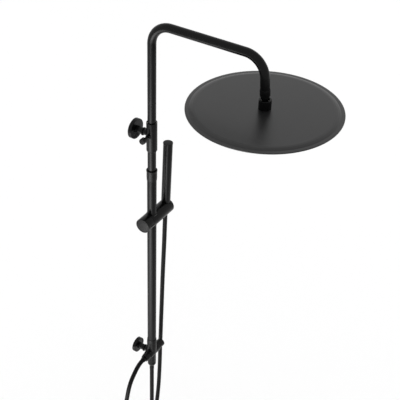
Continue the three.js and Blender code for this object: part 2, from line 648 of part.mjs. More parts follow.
const cartridge = shaped(
  toRight(turned([
    [0, -5], [CARTRIDGE_R - 1, -5], [CARTRIDGE_R, -4], [CARTRIDGE_R, VALVE_RIGHT], [0, VALVE_RIGHT],
  ])),
  [],
  [
    toRight(rod(SPINDLE_R + GAP, SPINDLE_LOW - GAP, VALVE_RIGHT + 1, SMALL)),
    rod(4, -CARTRIDGE_R - 1, CARTRIDGE_R + 1, SMALL),
  ],
);
place(valve, 'diverter_cartridge', cartridge, BRASS);
place(valve, 'diverter_spindle', toRight(rod(SPINDLE_R, SPINDLE_LOW, knobEnd - 6, SMALL)), BRASS);
const CAP_RECESS = 2;
const diverterKnob = turned([
  [SPINDLE_R + GAP, knobLow], [KNOB_R, knobLow], [KNOB_R, knobEnd - 1], [KNOB_R - 1, knobEnd],
  [8.6, knobEnd], [8.6, knobEnd - CAP_RECESS], [SPINDLE_R + GAP, knobEnd - CAP_RECESS],
]);
place(valve, 'diverter_knob', toRight(diverterKnob), MATT_BLACK);
const knobCap = rod(8.3, knobEnd - CAP_RECESS + GAP, knobEnd, ROUND);
place(valve, 'diverter_knob_cap', toRight(knobCap), MATT_BLACK);

// ---- hose unions ----------------------------------------------------------------------
// A union is built along +Z from the face that it is screwed into: a nipple, a swivel
// nut, a washer and the ferrule that is crimped on the hose.
const NIPPLE_END = 8;
const WASHER = 1.7;
const SEAT = NIPPLE_END + WASHER + 2 * GAP;
const TAIL = SEAT + 2;
const NUT_LENGTH = 17.5;
const OUTLET_FERRULE = 9;
const INLET_FERRULE = 14;
function union(parent, prefix, aim, face, nutWideR, nutEndR, ferruleR, ferruleLength) {
  const start = face + GAP;
  const add = (name, geometry, material) => {
    place(parent, `${prefix}_${name}`, aim(geometry.translate(0, 0, start)), material);
  };
  add('nipple', turned([
    [NIPPLE_BORE, -NIPPLE_DEPTH], [PORT_R, -NIPPLE_DEPTH], [PORT_R, 0],
    [THREAD_R, 0], [THREAD_R, NIPPLE_END], [NIPPLE_BORE, NIPPLE_END],
  ], ROUND), BRASS);
  add('nut', turned([
    [THREAD_R + GAP, 0.6], [nutWideR, 0.6], [nutWideR, NUT_LENGTH * 0.45], [nutEndR, NUT_LENGTH],
    [HOSE_R + 0.3, NUT_LENGTH], [HOSE_R + 0.3, TAIL + GAP], [THREAD_R + GAP, TAIL + GAP],
  ]), MATT_BLACK);
  add('washer', ring(NIPPLE_BORE, THREAD_R - 0.2, NIPPLE_END + GAP, SEAT - GAP, ROUND), RUBBER);
  add('ferrule', turned([
    [NIPPLE_BORE, SEAT], [THREAD_R, SEAT], [THREAD_R, TAIL], [HOSE_R - 0.1, TAIL],
    [HOSE_R - 0.1, NUT_LENGTH + GAP], [ferruleR, NUT_LENGTH + GAP],
    [ferruleR, NUT_LENGTH + ferruleLength], [NIPPLE_BORE, NUT_LENGTH + ferruleLength],
  ], ROUND), HOSE_BLACK);
}
union(valve, 'outlet', toLeft, VALVE_LEFT, 12, 10.4, 7.4, OUTLET_FERRULE);
const toFloor = (geometry) => geometry.rotateX(Math.PI);
union(valve, 'inlet', toFloor, -bodyLow, 12.3, 7.3, 6.7, INLET_FERRULE);

// ---- hoses ----------------------------------------------------------------------------
// The shower hose leaves the cone under the handset, hangs in one loop and comes back up
// to the outlet union.
const SHOWER_HOSE = [
  [65, -54.4, -283.2], [65.1, -53, -330], [65.8, -51, -390], [67, -48, -455], [68, -45, -530],
  [68.9, -42.5, -611], [70, -40, -680], [70.9, -38, -743], [71.6, -36, -800], [71.7, -35, -860],
  [71, -33.5, -926], [67.8, -33, -977], [61, -33, -1027], [49, -34, -1077], [31, -36, -1122],
  [6, -38, -1154], [-26, -41, -1168], [-60, -44, -1164], [-91, -47, -1138], [-114, -49, -1096],
  [-130, -50.5, -1040], [-137, -51.3, -980], [-136, -52, -915], [-130.5, -52.3, -873],
  [-123.6, -52.6, -847], [-117.4, -53, -824], [-110, -53.6, -804], [-101, -54.2, -788.5],
  [-89, -54.7, -775], [-78, -55, -765], [-67, -55, -758.7], [-57.5, -55, -755.6], [-48.6, -55, -755],
];
// The supply hose hangs straight below the inlet union.
const SUPPLY_TOP = DIVERTER_BOTTOM - GAP - NUT_LENGTH - INLET_FERRULE - GAP;
const SUPPLY_END = SUPPLY_TOP - SUPPLY_LENGTH;
const SUPPLY_HOSE = [SUPPLY_TOP, SUPPLY_END].map((z) => [0, -WALL_GAP, z]);
function hose(name, route, steps) {
  const line = new THREE.CatmullRomCurve3(route.map((p) => new THREE.Vector3(...p)), false, 'centripetal');
  place(part, name, pipe(line.getSpacedPoints(steps), HOSE_R, 0, HOSE_SIDES), HOSE_BLACK);
}
hose('shower_hose', SHOWER_HOSE, 56);
hose('supply_hose', SUPPLY_HOSE, 12);

// The supply hose's lower end: a ferrule, a swivel nut and its washer.
const supplyEnd = new THREE.Group();
supplyEnd.position.set(0, -WALL_GAP, SUPPLY_END - GAP);
part.add(supplyEnd);
const END_FERRULE = 14;
place(supplyEnd, 'supply_end_ferrule', turned([
  [NIPPLE_BORE, 0], [6.7, 0], [6.7, -END_FERRULE], [HOSE_R - 0.1, -END_FERRULE],
  [HOSE_R - 0.1, -END_FERRULE - 5], [THREAD_R, -END_FERRULE - 5], [THREAD_R, -END_FERRULE - 7],
  [NIPPLE_BORE, -END_FERRULE - 7],
], ROUND), HOSE_BLACK);
const END_NUT = 18;
const nutTop = -END_FERRULE - GAP;
place(supplyEnd, 'supply_end_nut', turned([
  [HOSE_R + 0.3, nutTop], [10, nutTop], [12, nutTop - 3], [12, nutTop - END_NUT],
  [THREAD_R + GAP, nutTop - END_NUT], [THREAD_R + GAP, -END_FERRULE - 5 + GAP],
  [HOSE_R + 0.3, -END_FERRULE - 5 + GAP],
], ROUND), MATT_BLACK);
place(supplyEnd, 'supply_end_washer', ring(
  NIPPLE_BORE, THREAD_R - 0.2, -END_FERRULE - 7 - GAP - WASHER, -END_FERRULE - 7 - GAP,
), RUBBER);

export default part;
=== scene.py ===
from math import acos, asin, cos, degrees, pi, radians, sin, tan

import bmesh
import bpy
from mathutils import Matrix, Vector


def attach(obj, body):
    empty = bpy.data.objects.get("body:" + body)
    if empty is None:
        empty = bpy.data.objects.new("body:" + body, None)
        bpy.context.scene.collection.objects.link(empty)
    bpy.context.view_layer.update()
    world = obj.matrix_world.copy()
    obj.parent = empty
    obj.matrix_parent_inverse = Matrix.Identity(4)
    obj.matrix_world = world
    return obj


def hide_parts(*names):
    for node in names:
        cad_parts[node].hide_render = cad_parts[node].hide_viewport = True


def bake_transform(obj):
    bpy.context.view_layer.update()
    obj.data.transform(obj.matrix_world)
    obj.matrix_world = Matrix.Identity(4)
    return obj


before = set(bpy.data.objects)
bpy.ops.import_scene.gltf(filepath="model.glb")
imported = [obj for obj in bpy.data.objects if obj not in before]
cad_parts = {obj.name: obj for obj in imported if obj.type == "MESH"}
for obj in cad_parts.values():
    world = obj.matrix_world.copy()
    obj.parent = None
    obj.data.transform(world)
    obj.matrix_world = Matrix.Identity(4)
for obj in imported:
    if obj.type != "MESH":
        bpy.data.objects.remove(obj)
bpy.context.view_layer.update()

# %% [markdown]
# # A rainfall shower column
# The column hangs on a wall by two round rosettes. A bent riser tube slides in a lower rail, a
# flat round head hangs from the arm on a ball joint, and a stick handset stands in a sliding
# cradle. Every length below is in millimetres, because that is how such a fitting is drawn, and
# one factor turns it into Blender's metres when a mesh is finished.

# %% Sizes that the pieces share
MM = 0.001
WALL_GAP = 55
BRACKET_SPACING = 755
GAP = 0.3
HOSE_R = 6.25
COLUMN = Vector((0, -WALL_GAP, 0))

# %% [markdown]
# ## Camera
# The view is from the left and well above, with a long lens, as for a catalogue picture of a
# fitting. The aim is written as an azimuth and an elevation, because those two angles are easier
# to change than a rotation. The column stands left of centre, which a small lens shift gives
# without turning the camera.

# %% Camera
AZIMUTH = radians(-55.2)
ELEVATION = radians(36.17)
STATION = Vector((-1711.2, -1245.1, 1320.6))
LENS = 88.72
SENSOR = 36
SHIFT = 0.1198                           # share of the view's width
FARTHEST = 100                           # metres
camera_data = bpy.data.cameras.new("camera")
camera = bpy.data.objects.new("camera", camera_data)
bpy.context.scene.collection.objects.link(camera)
behind = Vector((sin(AZIMUTH) * cos(ELEVATION), -cos(AZIMUTH) * cos(ELEVATION), sin(ELEVATION)))
camera.location = STATION * MM
camera.rotation_euler = behind.to_track_quat("Z", "Y").to_euler()
camera_data.lens = LENS
camera_data.sensor_width = SENSOR
camera_data.shift_x = SHIFT
camera_data.clip_end = FARTHEST
bpy.context.scene.camera = camera
print("camera at", tuple(round(x, 3) for x in camera.location))

# %% [markdown]
# ## Writing shaders as sums
# A shader can be wired by hand, node by node, but a finish is easier to read as an expression.
# `Socket` wraps one output and turns `+`, `-` and `*` into Math nodes, and `Finish.node` adds any
# other node, with its settings made before its inputs are filled.

# %% Shader helpers
class Socket:
    def __init__(self, finish, output):
        self.finish = finish
        self.output = output

    def math(self, operation, a, b):
        return self.finish.node("ShaderNodeMath", {"operation": operation}, {0: a, 1: b})

    def __add__(self, other):
        return self.math("ADD", self, other)

    def __radd__(self, other):
        return self.math("ADD", other, self)

    def __sub__(self, other):
        return self.math("SUBTRACT", self, other)

    def __rsub__(self, other):
        return self.math("SUBTRACT", other, self)

    def __mul__(self, other):
        return self.math("MULTIPLY", self, other)

    def __rmul__(self, other):
        return self.math("MULTIPLY", other, self)


class Finish:
    def __init__(self, tree):
        self.tree = tree

    def node(self, kind, settings=None, inputs=None, out=0):
        made = self.tree.nodes.new(kind)
        for key, value in (settings or {}).items():
            setattr(made, key, value)
        for key, value in (inputs or {}).items():
            if isinstance(value, Socket):
                self.tree.links.new(value.output, made.inputs[key])
            else:
                made.inputs[key].default_value = value
        return Socket(self, made.outputs[out])

    def mix(self, factor, a, b):
        """A colour between a and b."""
        made = self.tree.nodes.new("ShaderNodeMix")
        made.data_type = "RGBA"
        for index, value in ((0, factor), (6, a), (7, b)):
            if isinstance(value, Socket):
                self.tree.links.new(value.output, made.inputs[index])
            else:
                made.inputs[index].default_value = value
        return Socket(self, made.outputs[2])

    def noise(self, scale, detail=2.0):
        """Soft noise on the object's own coordinates; scale is in patches per metre."""
        place = self.node("ShaderNodeTexCoord", out="Object")
        return self.node("ShaderNodeTexNoise", {}, {"Vector": place, "Scale": scale, "Detail": detail})


def grey(value, tint=0.0):
    return (value, value, value * (1 + tint), 1)


def material(name, varying, **constants):
    """A Principled material; varying(finish) returns the linked inputs by name."""
    made = bpy.data.materials.new(name)
    made.use_nodes = True
    tree = made.node_tree
    shader = tree.nodes["Principled BSDF"]
    for key, value in constants.items():
        shader.inputs[key.replace("_", " ")].default_value = value
    for key, value in varying(Finish(tree)).items():
        tree.links.new(value.output, shader.inputs[key])
    return made


# %% [markdown]
# ## Finishes
# The metal is brass with a baked satin black coat. Under a lens such a coat isn't flat: it dries
# with a fine orange peel, and handling leaves faint cloudy patches that are a little glossier.
# Two noises give those, one at half a millimetre for the bump and one at a few centimetres for
# the roughness. An image of real paint would do it too, but it would stretch on the bends. The
# coats mirror less than a plain lacquer would.

# %% Black coats
CLOUDS = 22.0                            # patches per metre
SPECKS = 1900.0
PEEL_DEPTH = 0.00004                     # metres, as all depths of bump


def coated(dark, light, rough, spread, peel):
    def varying(f):
        cloud = f.noise(CLOUDS, 3.0)
        speck = f.noise(SPECKS, 1.0)
        return {
            "Base Color": f.mix(cloud, grey(dark, 0.04), grey(light, 0.04)),
            "Roughness": rough + (cloud - 0.5) * spread + (speck - 0.5) * 0.05,
            "Normal": f.node(
                "ShaderNodeBump", {}, {"Strength": peel, "Distance": PEEL_DEPTH, "Height": speck}
            ),
        }
    return varying


satin_black = material(
    "satin_black", coated(0.0012, 0.0025, 0.26, 0.08, 0.35), Metallic=0.0, Specular_IOR_Level=0.12
)
head_black = material(
    "head_black", coated(0.004, 0.007, 0.34, 0.08, 0.45), Metallic=0.0, Specular_IOR_Level=0.36
)

# %% [markdown]
# The hose is smooth PVC drawn over a wound core, and the winding shows through as a very low
# spiral. The tube's own length and angle are kept on its points, so the spiral follows the bends,
# which a pattern in the room's coordinates couldn't do.

# %% Hose
WINDING = 0.0032                         # metres from turn to turn
RIB_DEPTH = 0.00006


def wound(f):
    along = f.node("ShaderNodeAttribute", {"attribute_name": "along"}, out="Fac")
    around = f.node("ShaderNodeAttribute", {"attribute_name": "around"}, out="Fac")
    turn = (along * (1 / WINDING) + around) * (2 * pi)
    rib = f.node("ShaderNodeMath", {"operation": "SINE"}, {0: turn})
    scuff = f.noise(160.0, 3.0)
    return {
        "Base Color": f.mix(scuff, grey(0.0015), grey(0.0035, 0.05)),
        "Roughness": 0.27 + scuff * 0.12,
        "Normal": f.node(
            "ShaderNodeBump", {}, {"Strength": 0.25, "Distance": RIB_DEPTH, "Height": rib}
        ),
    }


hose_black = material("hose_black", wound, Metallic=0.0, Specular_IOR_Level=0.08)

# %% [markdown]
# The pieces that hide inside are machined brass, zinc-plated steel, natural nylon and rubber. The
# turning marks on brass are rings, but at this size a fine noise reads the same and works on
# every axis. Rubber and nylon are matt and a little uneven.

# %% Inner materials
def plain(low, high, rough, spread, scale, depth):
    def varying(f):
        patch = f.noise(scale, 3.0)
        return {
            "Base Color": f.mix(patch, low, high),
            "Roughness": rough + (patch - 0.5) * spread,
            "Normal": f.node("ShaderNodeBump", {}, {"Strength": 0.3, "Distance": depth, "Height": patch}),
        }
    return varying


brass = material(
    "brass", plain((0.52, 0.36, 0.13, 1), (0.66, 0.48, 0.2, 1), 0.3, 0.15, 700.0, 0.00003), Metallic=1.0
)
steel = material(
    "steel", plain(grey(0.45, 0.03), grey(0.6, 0.03), 0.32, 0.15, 900.0, 0.00003), Metallic=1.0
)
nylon = material(
    "nylon", plain((0.68, 0.66, 0.58, 1), (0.76, 0.74, 0.67, 1), 0.5, 0.1, 300.0, 0.00004)
)
black_nylon = material("black_nylon", plain(grey(0.006), grey(0.011), 0.5, 0.1, 300.0, 0.00004))
rubber = material("rubber", plain(grey(0.012), grey(0.022), 0.7, 0.15, 600.0, 0.00006))
silicone = material(
    "silicone", plain(grey(0.045, 0.03), grey(0.06, 0.03), 0.55, 0.12, 500.0, 0.00005)
)
print(len(bpy.data.materials), "materials")

# %% [markdown]
# ## Tubes along a path
# Hoses follow a path, so a small Geometry Nodes tree makes them: the path's edges become a
# curve, each point remembers how far along it lies, and a circle is swept over it with closed
# ends. Curves have a bevel of their own, but it can't keep that distance.

# %% Geometry Nodes helpers
def new_tree(name, inputs):
    """A tree with a geometry input, the named inputs of the given kinds and a geometry output."""
    tree = bpy.data.node_groups.new(name, "GeometryNodeTree")
    tree.interface.new_socket("Geometry", in_out="INPUT", socket_type="NodeSocketGeometry")
    for label, kind in inputs.items():
        tree.interface.new_socket(label, in_out="INPUT", socket_type=kind)
    tree.interface.new_socket("Geometry", in_out="OUTPUT", socket_type="NodeSocketGeometry")
    return tree


def link_up(tree, chain):
    """Joins each (output, input) pair of sockets."""
    for output, entry in chain:
        tree.links.new(output, entry)


def made_by(tree, host, values):
    """Runs the tree on the host object and leaves the host as a plain mesh."""
    modifier = host.modifiers.new(tree.name, "NODES")
    modifier.node_group = tree
    for item in tree.interface.items_tree:
        if item.in_out == "INPUT" and item.name in values:
            modifier[item.identifier] = values[item.name]
    evaluated = host.evaluated_get(bpy.context.evaluated_depsgraph_get())
    mesh = bpy.data.meshes.new_from_object(evaluated)
    host.modifiers.clear()
    old = host.data
    host.data = mesh
    bpy.data.meshes.remove(old)
    mesh.name = host.name
    return host


def finishing(tree, given, last):
    """Realize Instances and Set Material before the output, as every tree ends."""
    real = tree.nodes.new("GeometryNodeRealizeInstances")
    paint = tree.nodes.new("GeometryNodeSetMaterial")
    out = tree.nodes.new("NodeGroupOutput")
    link_up(tree, [
        (last, real.inputs[0]),
        (real.outputs[0], paint.inputs["Geometry"]),
        (given.outputs["Material"], paint.inputs["Material"]),
        (paint.outputs[0], out.inputs[0]),
    ])


# %% The sweep
def sweep_tree():
    tree = new_tree("tube along a path", {
        "Radius": "NodeSocketFloat", "Sides": "NodeSocketInt", "Material": "NodeSocketMaterial",
    })
    given = tree.nodes.new("NodeGroupInput")
    to_curve = tree.nodes.new("GeometryNodeMeshToCurve")
    length = tree.nodes.new("GeometryNodeSplineParameter")
    keep = tree.nodes.new("GeometryNodeStoreNamedAttribute")
    keep.data_type = "FLOAT"
    keep.inputs["Name"].default_value = "along"
    section = tree.nodes.new("GeometryNodeCurvePrimitiveCircle")
    angle = tree.nodes.new("GeometryNodeSplineParameter")
    keep_angle = tree.nodes.new("GeometryNodeStoreNamedAttribute")
    keep_angle.data_type = "FLOAT"
    keep_angle.inputs["Name"].default_value = "around"
    sweep = tree.nodes.new("GeometryNodeCurveToMesh")
    sweep.inputs["Fill Caps"].default_value = True
    link_up(tree, [
        (given.outputs["Geometry"], to_curve.inputs["Mesh"]),
        (to_curve.outputs[0], keep.inputs["Geometry"]),
        (length.outputs["Length"], keep.inputs["Value"]),
        (given.outputs["Radius"], section.inputs["Radius"]),
        (given.outputs["Sides"], section.inputs["Resolution"]),
        (section.outputs[0], keep_angle.inputs["Geometry"]),
        (angle.outputs["Factor"], keep_angle.inputs["Value"]),
        (keep.outputs[0], sweep.inputs["Curve"]),
        (keep_angle.outputs[0], sweep.inputs["Profile Curve"]),
    ])
    finishing(tree, given, sweep.outputs[0])
    return tree


SWEEP = sweep_tree()


def new_object(name, mesh):
    made = bpy.data.objects.new(name, mesh)
    bpy.context.scene.collection.objects.link(made)
    return made


def smooth(piece, angle=28):
    """Rounds the shading, and keeps edges sharper than the angle crisp."""
    piece.data.shade_smooth()
    piece.data.set_sharp_from_angle(angle=radians(angle))


# %% [markdown]
# ## The hoses
# The shower hose is a usual 1.5 m set, 1.43 m of it free between its end fittings, and hangs in
# one loop from the cone under the handset to the outlet at the diverter. The slider lifts, lowers
# and swings its upper end, so the hose is cut into four lengths that meet end to end: each of the
# first three spans one joint, and the last stays with the column. The third is long,
# because a length that shrinks by more than two thirds of itself folds back over its own middle.
# The supply hose hangs straight, 0.5 m with its fittings.

# %% The routes
SHOWER_HOSE = [
    (65, -54.4, -283.2), (65.1, -53, -330), (65.8, -51, -390), (67, -48, -455), (68, -45, -530),
    (68.9, -42.5, -611), (70, -40, -680), (70.9, -38, -743), (71.6, -36, -800), (71.7, -35, -860),
    (71, -33.5, -926), (67.8, -33, -977), (61, -33, -1027), (49, -34, -1077), (31, -36, -1122),
    (6, -38, -1154), (-26, -41, -1168), (-60, -44, -1164), (-91, -47, -1138), (-114, -49, -1096),
    (-130, -50.5, -1040), (-137, -51.3, -980), (-136, -52, -915), (-130.5, -52.3, -873),
    (-123.6, -52.6, -847), (-117.4, -53, -824), (-110, -53.6, -804), (-101, -54.2, -788.5),
    (-89, -54.7, -775), (-78, -55, -765), (-67, -55, -758.7), (-57.5, -55, -755.6), (-48.6, -55, -755),
]
SUPPLY_HOSE = [(0, -55, z) for z in (-826.1, -900, -1000, -1100, -1200, -1312)]
HOSE_SIDES = 28


def smooth_route(points, step=6):
    """A Catmull-Rom line through the points, sampled about every step millimetres."""
    knots = [Vector(p) for p in points]
    knots = [2 * knots[0] - knots[1]] + knots + [2 * knots[-1] - knots[-2]]
    line = []
    for a, b, c, d in zip(knots, knots[1:], knots[2:], knots[3:]):
        count = max(2, round((c - b).length / step))
        for i in range(count):
            t = i / count
            line.append(0.5 * (
                2 * b + (c - a) * t + (2 * a - 5 * b + 4 * c - d) * t * t
                + (3 * b - a - 3 * c + d) * t ** 3
            ))
    return line + [knots[-2]]


def length_of(line):
    return sum((b - a).length for a, b in zip(line, line[1:])) * MM


def hose_piece(name, line):
    mesh = bpy.data.meshes.new(name)
    mesh.from_pydata([p * MM for p in line], [(i, i + 1) for i in range(len(line) - 1)], [])
    piece = made_by(SWEEP, new_object(name, mesh), {
        "Radius": HOSE_R * MM, "Sides": HOSE_SIDES, "Material": hose_black,
    })
    smooth(piece, 40)
    return piece


shower_line = smooth_route(SHOWER_HOSE)
supply_line = smooth_route(SUPPLY_HOSE)
print("shower hose", round(length_of(shower_line), 3), "m")
print("supply hose", round(length_of(supply_line), 3), "m")

# %% Cutting the shower hose where its joints are
HOSE_CUTS = (-375, -550, -1130)          # heights on its right-hand run


def cut_route(line, heights):
    """Splits the descending part of the line at the heights; neighbours share a point."""
    parts = []
    start = 0
    for height in heights:
        end = next(i for i in range(start, len(line)) if line[i].z <= height)
        parts.append(line[start:end + 1])
        start = end
    return parts + [line[start:]]


def lay_hose(name, line, bodies, node="shower_hose"):
    piece = hose_piece(name, line)
    ends = [tuple(p * MM) for p in (line[0], line[-1])]
    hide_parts(node)
    if len(bodies) == 2:
        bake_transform(piece)
    else:
        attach(piece, bodies[0])
    length_of(line)
    [tuple(p * MM) for p in line]
    print(name, len(piece.data.polygons), "faces,", round(length_of(line), 3), "m")


pieces_of_hose = cut_route(shower_line, HOSE_CUTS)
spans = [("hose_cone", "slider"), ("slider", "slide"), ("slide", "column"), ("column",)]
words = ["lead", "upper", "drop", "loop"]
for word, line, bodies in zip(words, pieces_of_hose, spans):
    lay_hose(f"hose_{word}", line, bodies)
lay_hose(
    "hose_supply", supply_line, ("column",),
    node="supply_hose",
)

# %% [markdown]
# ## Turned pieces
# Nearly every other piece is turned on a lathe, so one function spins a profile. Real edges are
# broken by a small radius, and that thin line of light is what tells metal from a drawing, so a
# corner can carry a fillet of its own. A Bevel modifier would round every edge alike. Where shapes
# are joined or bored, the Boolean uses its Manifold solver, because the Exact one left some open.

# %% The lathe
def filleted(profile, steps=4):
    """Rounds each (radius, height, fillet) corner of a closed profile."""
    points = []
    for i, corner in enumerate(profile):
        here = Vector(corner[:2])
        if len(corner) < 3:
            points.append(here)
            continue
        before = Vector(profile[i - 1][:2]) - here
        after = Vector(profile[(i + 1) % len(profile)][:2]) - here
        half = before.angle(after) / 2
        reach = min(corner[2] / tan(half), 0.48 * before.length, 0.48 * after.length)
        start = here + before.normalized() * reach
        end = here + after.normalized() * reach
        for k in range(steps + 1):
            t = k / steps
            points.append((1 - t) ** 2 * start + 2 * t * (1 - t) * here + t * t * end)
    return points


UP = Vector((0, 0, 1))
LEFT = Vector((-1, 0, 0))
RIGHT = Vector((1, 0, 0))
ROOM = Vector((0, -1, 0))
WALL = Vector((0, 1, 0))
DOWN = Vector((0, 0, -1))


def aimed(origin, direction=UP):
    """The matrix that stands a turned piece at origin, with its axis along direction."""
    turn = Matrix.Rotation(pi, 4, "X") if direction == DOWN else (
        UP.rotation_difference(direction).to_matrix().to_4x4()
    )
    return Matrix.Translation(origin) @ turn


def spun(profile, where, sides=96):
    """A bmesh, in metres, of the closed profile spun about the axis of where."""
    points = filleted(profile)
    shape = bmesh.new()
    rings = []
    for point in points:
        if point.x < 1e-6:
            rings.append([shape.verts.new(where @ Vector((0, 0, point.y)) * MM)])
            continue
        ring = []
        for k in range(sides):
            angle = 2 * pi * k / sides
            at = Vector((point.x * cos(angle), point.x * sin(angle), point.y))
            ring.append(shape.verts.new(where @ at * MM))
        rings.append(ring)
    for a, b in zip(rings, rings[1:] + rings[:1]):
        if len(a) == 1 and len(b) == 1:
            continue
        for k in range(sides):
            m = (k + 1) % sides
            corners = [a[k % len(a)], a[m % len(a)], b[m % len(b)], b[k % len(b)]]
            shape.faces.new(list(dict.fromkeys(corners)))
    bmesh.ops.recalc_face_normals(shape, faces=shape.faces)
    return shape


def mesh_of(name, shape):
    mesh = bpy.data.meshes.new(name)
    shape.to_mesh(mesh)
    shape.free()
    return mesh


def settle(piece, body, node, finish):
    """The last steps for a piece: its finish, its shading and what it stands for."""
    if not piece.data.materials:
        piece.data.materials.append(finish)
    smooth(piece)
    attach(piece, body)
    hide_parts(node)
    print(piece.name, len(piece.data.polygons), "faces")
    return piece


def turned(node, body, profile, where, finish=satin_black, sides=96):
    piece = new_object(node + "_fine", mesh_of(node + "_fine", spun(profile, where, sides)))
    return settle(piece, body, node, finish)


def carved(node, body, base, joins, cuts, finish=satin_black):
    """A spun base with other spun shapes or boxes joined to it and cut from it."""
    piece = new_object(node + "_fine", mesh_of(node + "_fine", base))
    tools = []
    for operation, shapes in (("UNION", joins), ("DIFFERENCE", cuts)):
        for shape in shapes:
            tool = new_object("tool", mesh_of("tool", shape))
            modifier = piece.modifiers.new("carve", "BOOLEAN")
            modifier.operation = operation
            modifier.solver = "MANIFOLD"
            modifier.object = tool
            tools.append(tool)
    evaluated = piece.evaluated_get(bpy.context.evaluated_depsgraph_get())
    mesh = bpy.data.meshes.new_from_object(evaluated)
    mesh.materials.clear()               # the Boolean leaves an empty slot
    piece.modifiers.clear()
    piece.data = mesh
    for tool in tools:
        bpy.data.objects.remove(tool)
    return settle(piece, body, node, finish)


def rod(radius, low, high, where, fillet=0.0, sides=96):
    return spun([(0, low), (radius, low, fillet), (radius, high, fillet), (0, high)], where, sides)


def block(low, high, where=Matrix()):
    """A box between two corners, in the frame of where."""
    shape = bmesh.new()
    bmesh.ops.create_cube(shape, size=1)
    for vert in shape.verts:
        corner = Vector(a if c < 0 else b for a, b, c in zip(low, high, vert.co))
        vert.co = where @ corner * MM
    bmesh.ops.recalc_face_normals(shape, faces=shape.faces)
    return shape


# %% [markdown]
# ## Wall brackets
# Both brackets are the same fitting in two sizes: a domed-edge rosette hides the screwed base, a
# stem comes out of it and a thin ring closes the joint in front. One function makes both, so that
# they stay alike.

# %% Rosettes, stems and rings
STEM_R = 9
STEM_LENGTH = 28
FLANGE_DEPTH = 10
ROSETTE_WALL = 1.6
STUD_R = 4
STUD_DEPTH = 7
SPIGOT_R = 6
SPIGOT_DEPTH = 10.3
BASE = 5
STEM_RING = 3
STEM_RING_R = STEM_R + 1.8
UPPER_FLANGE_R = 27
LOWER_FLANGE_R = 22.5


def wall_bracket(prefix, z, flange_r):
    where = aimed(Vector((0, 0, z)), ROOM)
    inner = flange_r - ROSETTE_WALL
    turned(f"{prefix}_rosette", "column", [
        (flange_r, 0), (flange_r, FLANGE_DEPTH, 1.1), (STEM_R + GAP, FLANGE_DEPTH, 0.2),
        (STEM_R + GAP, FLANGE_DEPTH - ROSETTE_WALL), (inner, FLANGE_DEPTH - ROSETTE_WALL, 0.6),
        (inner, 0),
    ], where)
    turned(f"{prefix}_stem", "column", [
        (SPIGOT_R + GAP, BASE + GAP), (STEM_R, BASE + GAP), (STEM_R, STEM_LENGTH, 0.4),
        (STUD_R + GAP, STEM_LENGTH), (STUD_R + GAP, STEM_LENGTH - STUD_DEPTH),
        (0, STEM_LENGTH - STUD_DEPTH), (0, BASE + SPIGOT_DEPTH), (SPIGOT_R + GAP, BASE + SPIGOT_DEPTH),
    ], where)
    low = STEM_LENGTH + GAP
    turned(f"{prefix}_stem_ring", "column", [
        (STUD_R + GAP, low), (STEM_RING_R, low, 1.0), (STEM_RING_R, low + STEM_RING, 1.0),
        (STUD_R + GAP, low + STEM_RING),
    ], where)


wall_bracket("upper", 0, UPPER_FLANGE_R)
wall_bracket("lower", -BRACKET_SPACING, LOWER_FLANGE_R)

# %% [markdown]
# ## Sleeve and thumbscrew
# The riser slides in a sleeve with a plastic bush, and a thumbscrew at the left locks it. The
# sleeve is one casting: a spun body with the wall boss and the screw's boss joined to it, then
# bored. Booleans suit it, because the bosses meet the barrel in curves no profile gives.

# %% Sleeve
RISER_R = 11
SLEEVE_R = 14
SLEEVE_TOP = 36
SLEEVE_BOTTOM = -48
BUSH_WALL = 1.1
BUSH_BORE = RISER_R + GAP + BUSH_WALL + GAP
INSIDE = 5                               # where a boss or a side bore starts, near the axis
SCREW_BOSS_R = 6.5
SCREW_BOSS_END = SLEEVE_R + 5
CLAMP_R = 3
CLAMP_TIP = 13.2
THUMB_NECK_R = 4.5
THUMB_NECK_END = 32
THUMB_R = 8
THUMB_END = 44
BOSS_R = 8
BOSS_END = WALL_GAP - STEM_LENGTH - STEM_RING - 2 * GAP
STUD_END = WALL_GAP - STEM_LENGTH + 6
at_column = aimed(COLUMN)


def wall_boss(z):
    where = aimed(COLUMN + Vector((0, 0, z)), WALL)
    return [rod(BOSS_R, INSIDE, BOSS_END, where, 0.3), rod(STUD_R, INSIDE, STUD_END, where)]


carved(
    "bracket_sleeve", "column",
    spun([
        (0, SLEEVE_BOTTOM), (SLEEVE_R - 1.4, SLEEVE_BOTTOM, 0.4),
        (SLEEVE_R, SLEEVE_BOTTOM + 2.2, 0.8), (SLEEVE_R, SLEEVE_TOP, 0.7), (0, SLEEVE_TOP),
    ], at_column),
    wall_boss(0) + [rod(SCREW_BOSS_R, INSIDE, SCREW_BOSS_END, aimed(COLUMN, LEFT), 0.4)],
    [
        rod(BUSH_BORE, SLEEVE_BOTTOM - 1, SLEEVE_TOP + 1, at_column),
        rod(CLAMP_R + GAP, INSIDE, SCREW_BOSS_END + 1, aimed(COLUMN, LEFT)),
    ],
)
turned("thumbscrew", "screw", [
    (0, CLAMP_TIP), (CLAMP_R, CLAMP_TIP, 0.2), (CLAMP_R, SCREW_BOSS_END + GAP),
    (THUMB_NECK_R, SCREW_BOSS_END + GAP, 0.3), (THUMB_NECK_R, THUMB_NECK_END),
    (THUMB_R, THUMB_NECK_END + 0.6, 0.5), (THUMB_R, THUMB_END, 0.9), (0, THUMB_END),
], aimed(COLUMN, LEFT))

# %% [markdown]
# ## Riser and arm
# The riser is one tube, bent twice. It is drawn as rings of points along the bend line, each with
# an outer and an inner circle, so the wall has its true thickness at both ends. The drop at the
# arm's end leans outward a little, as the bend stops short of a right angle.

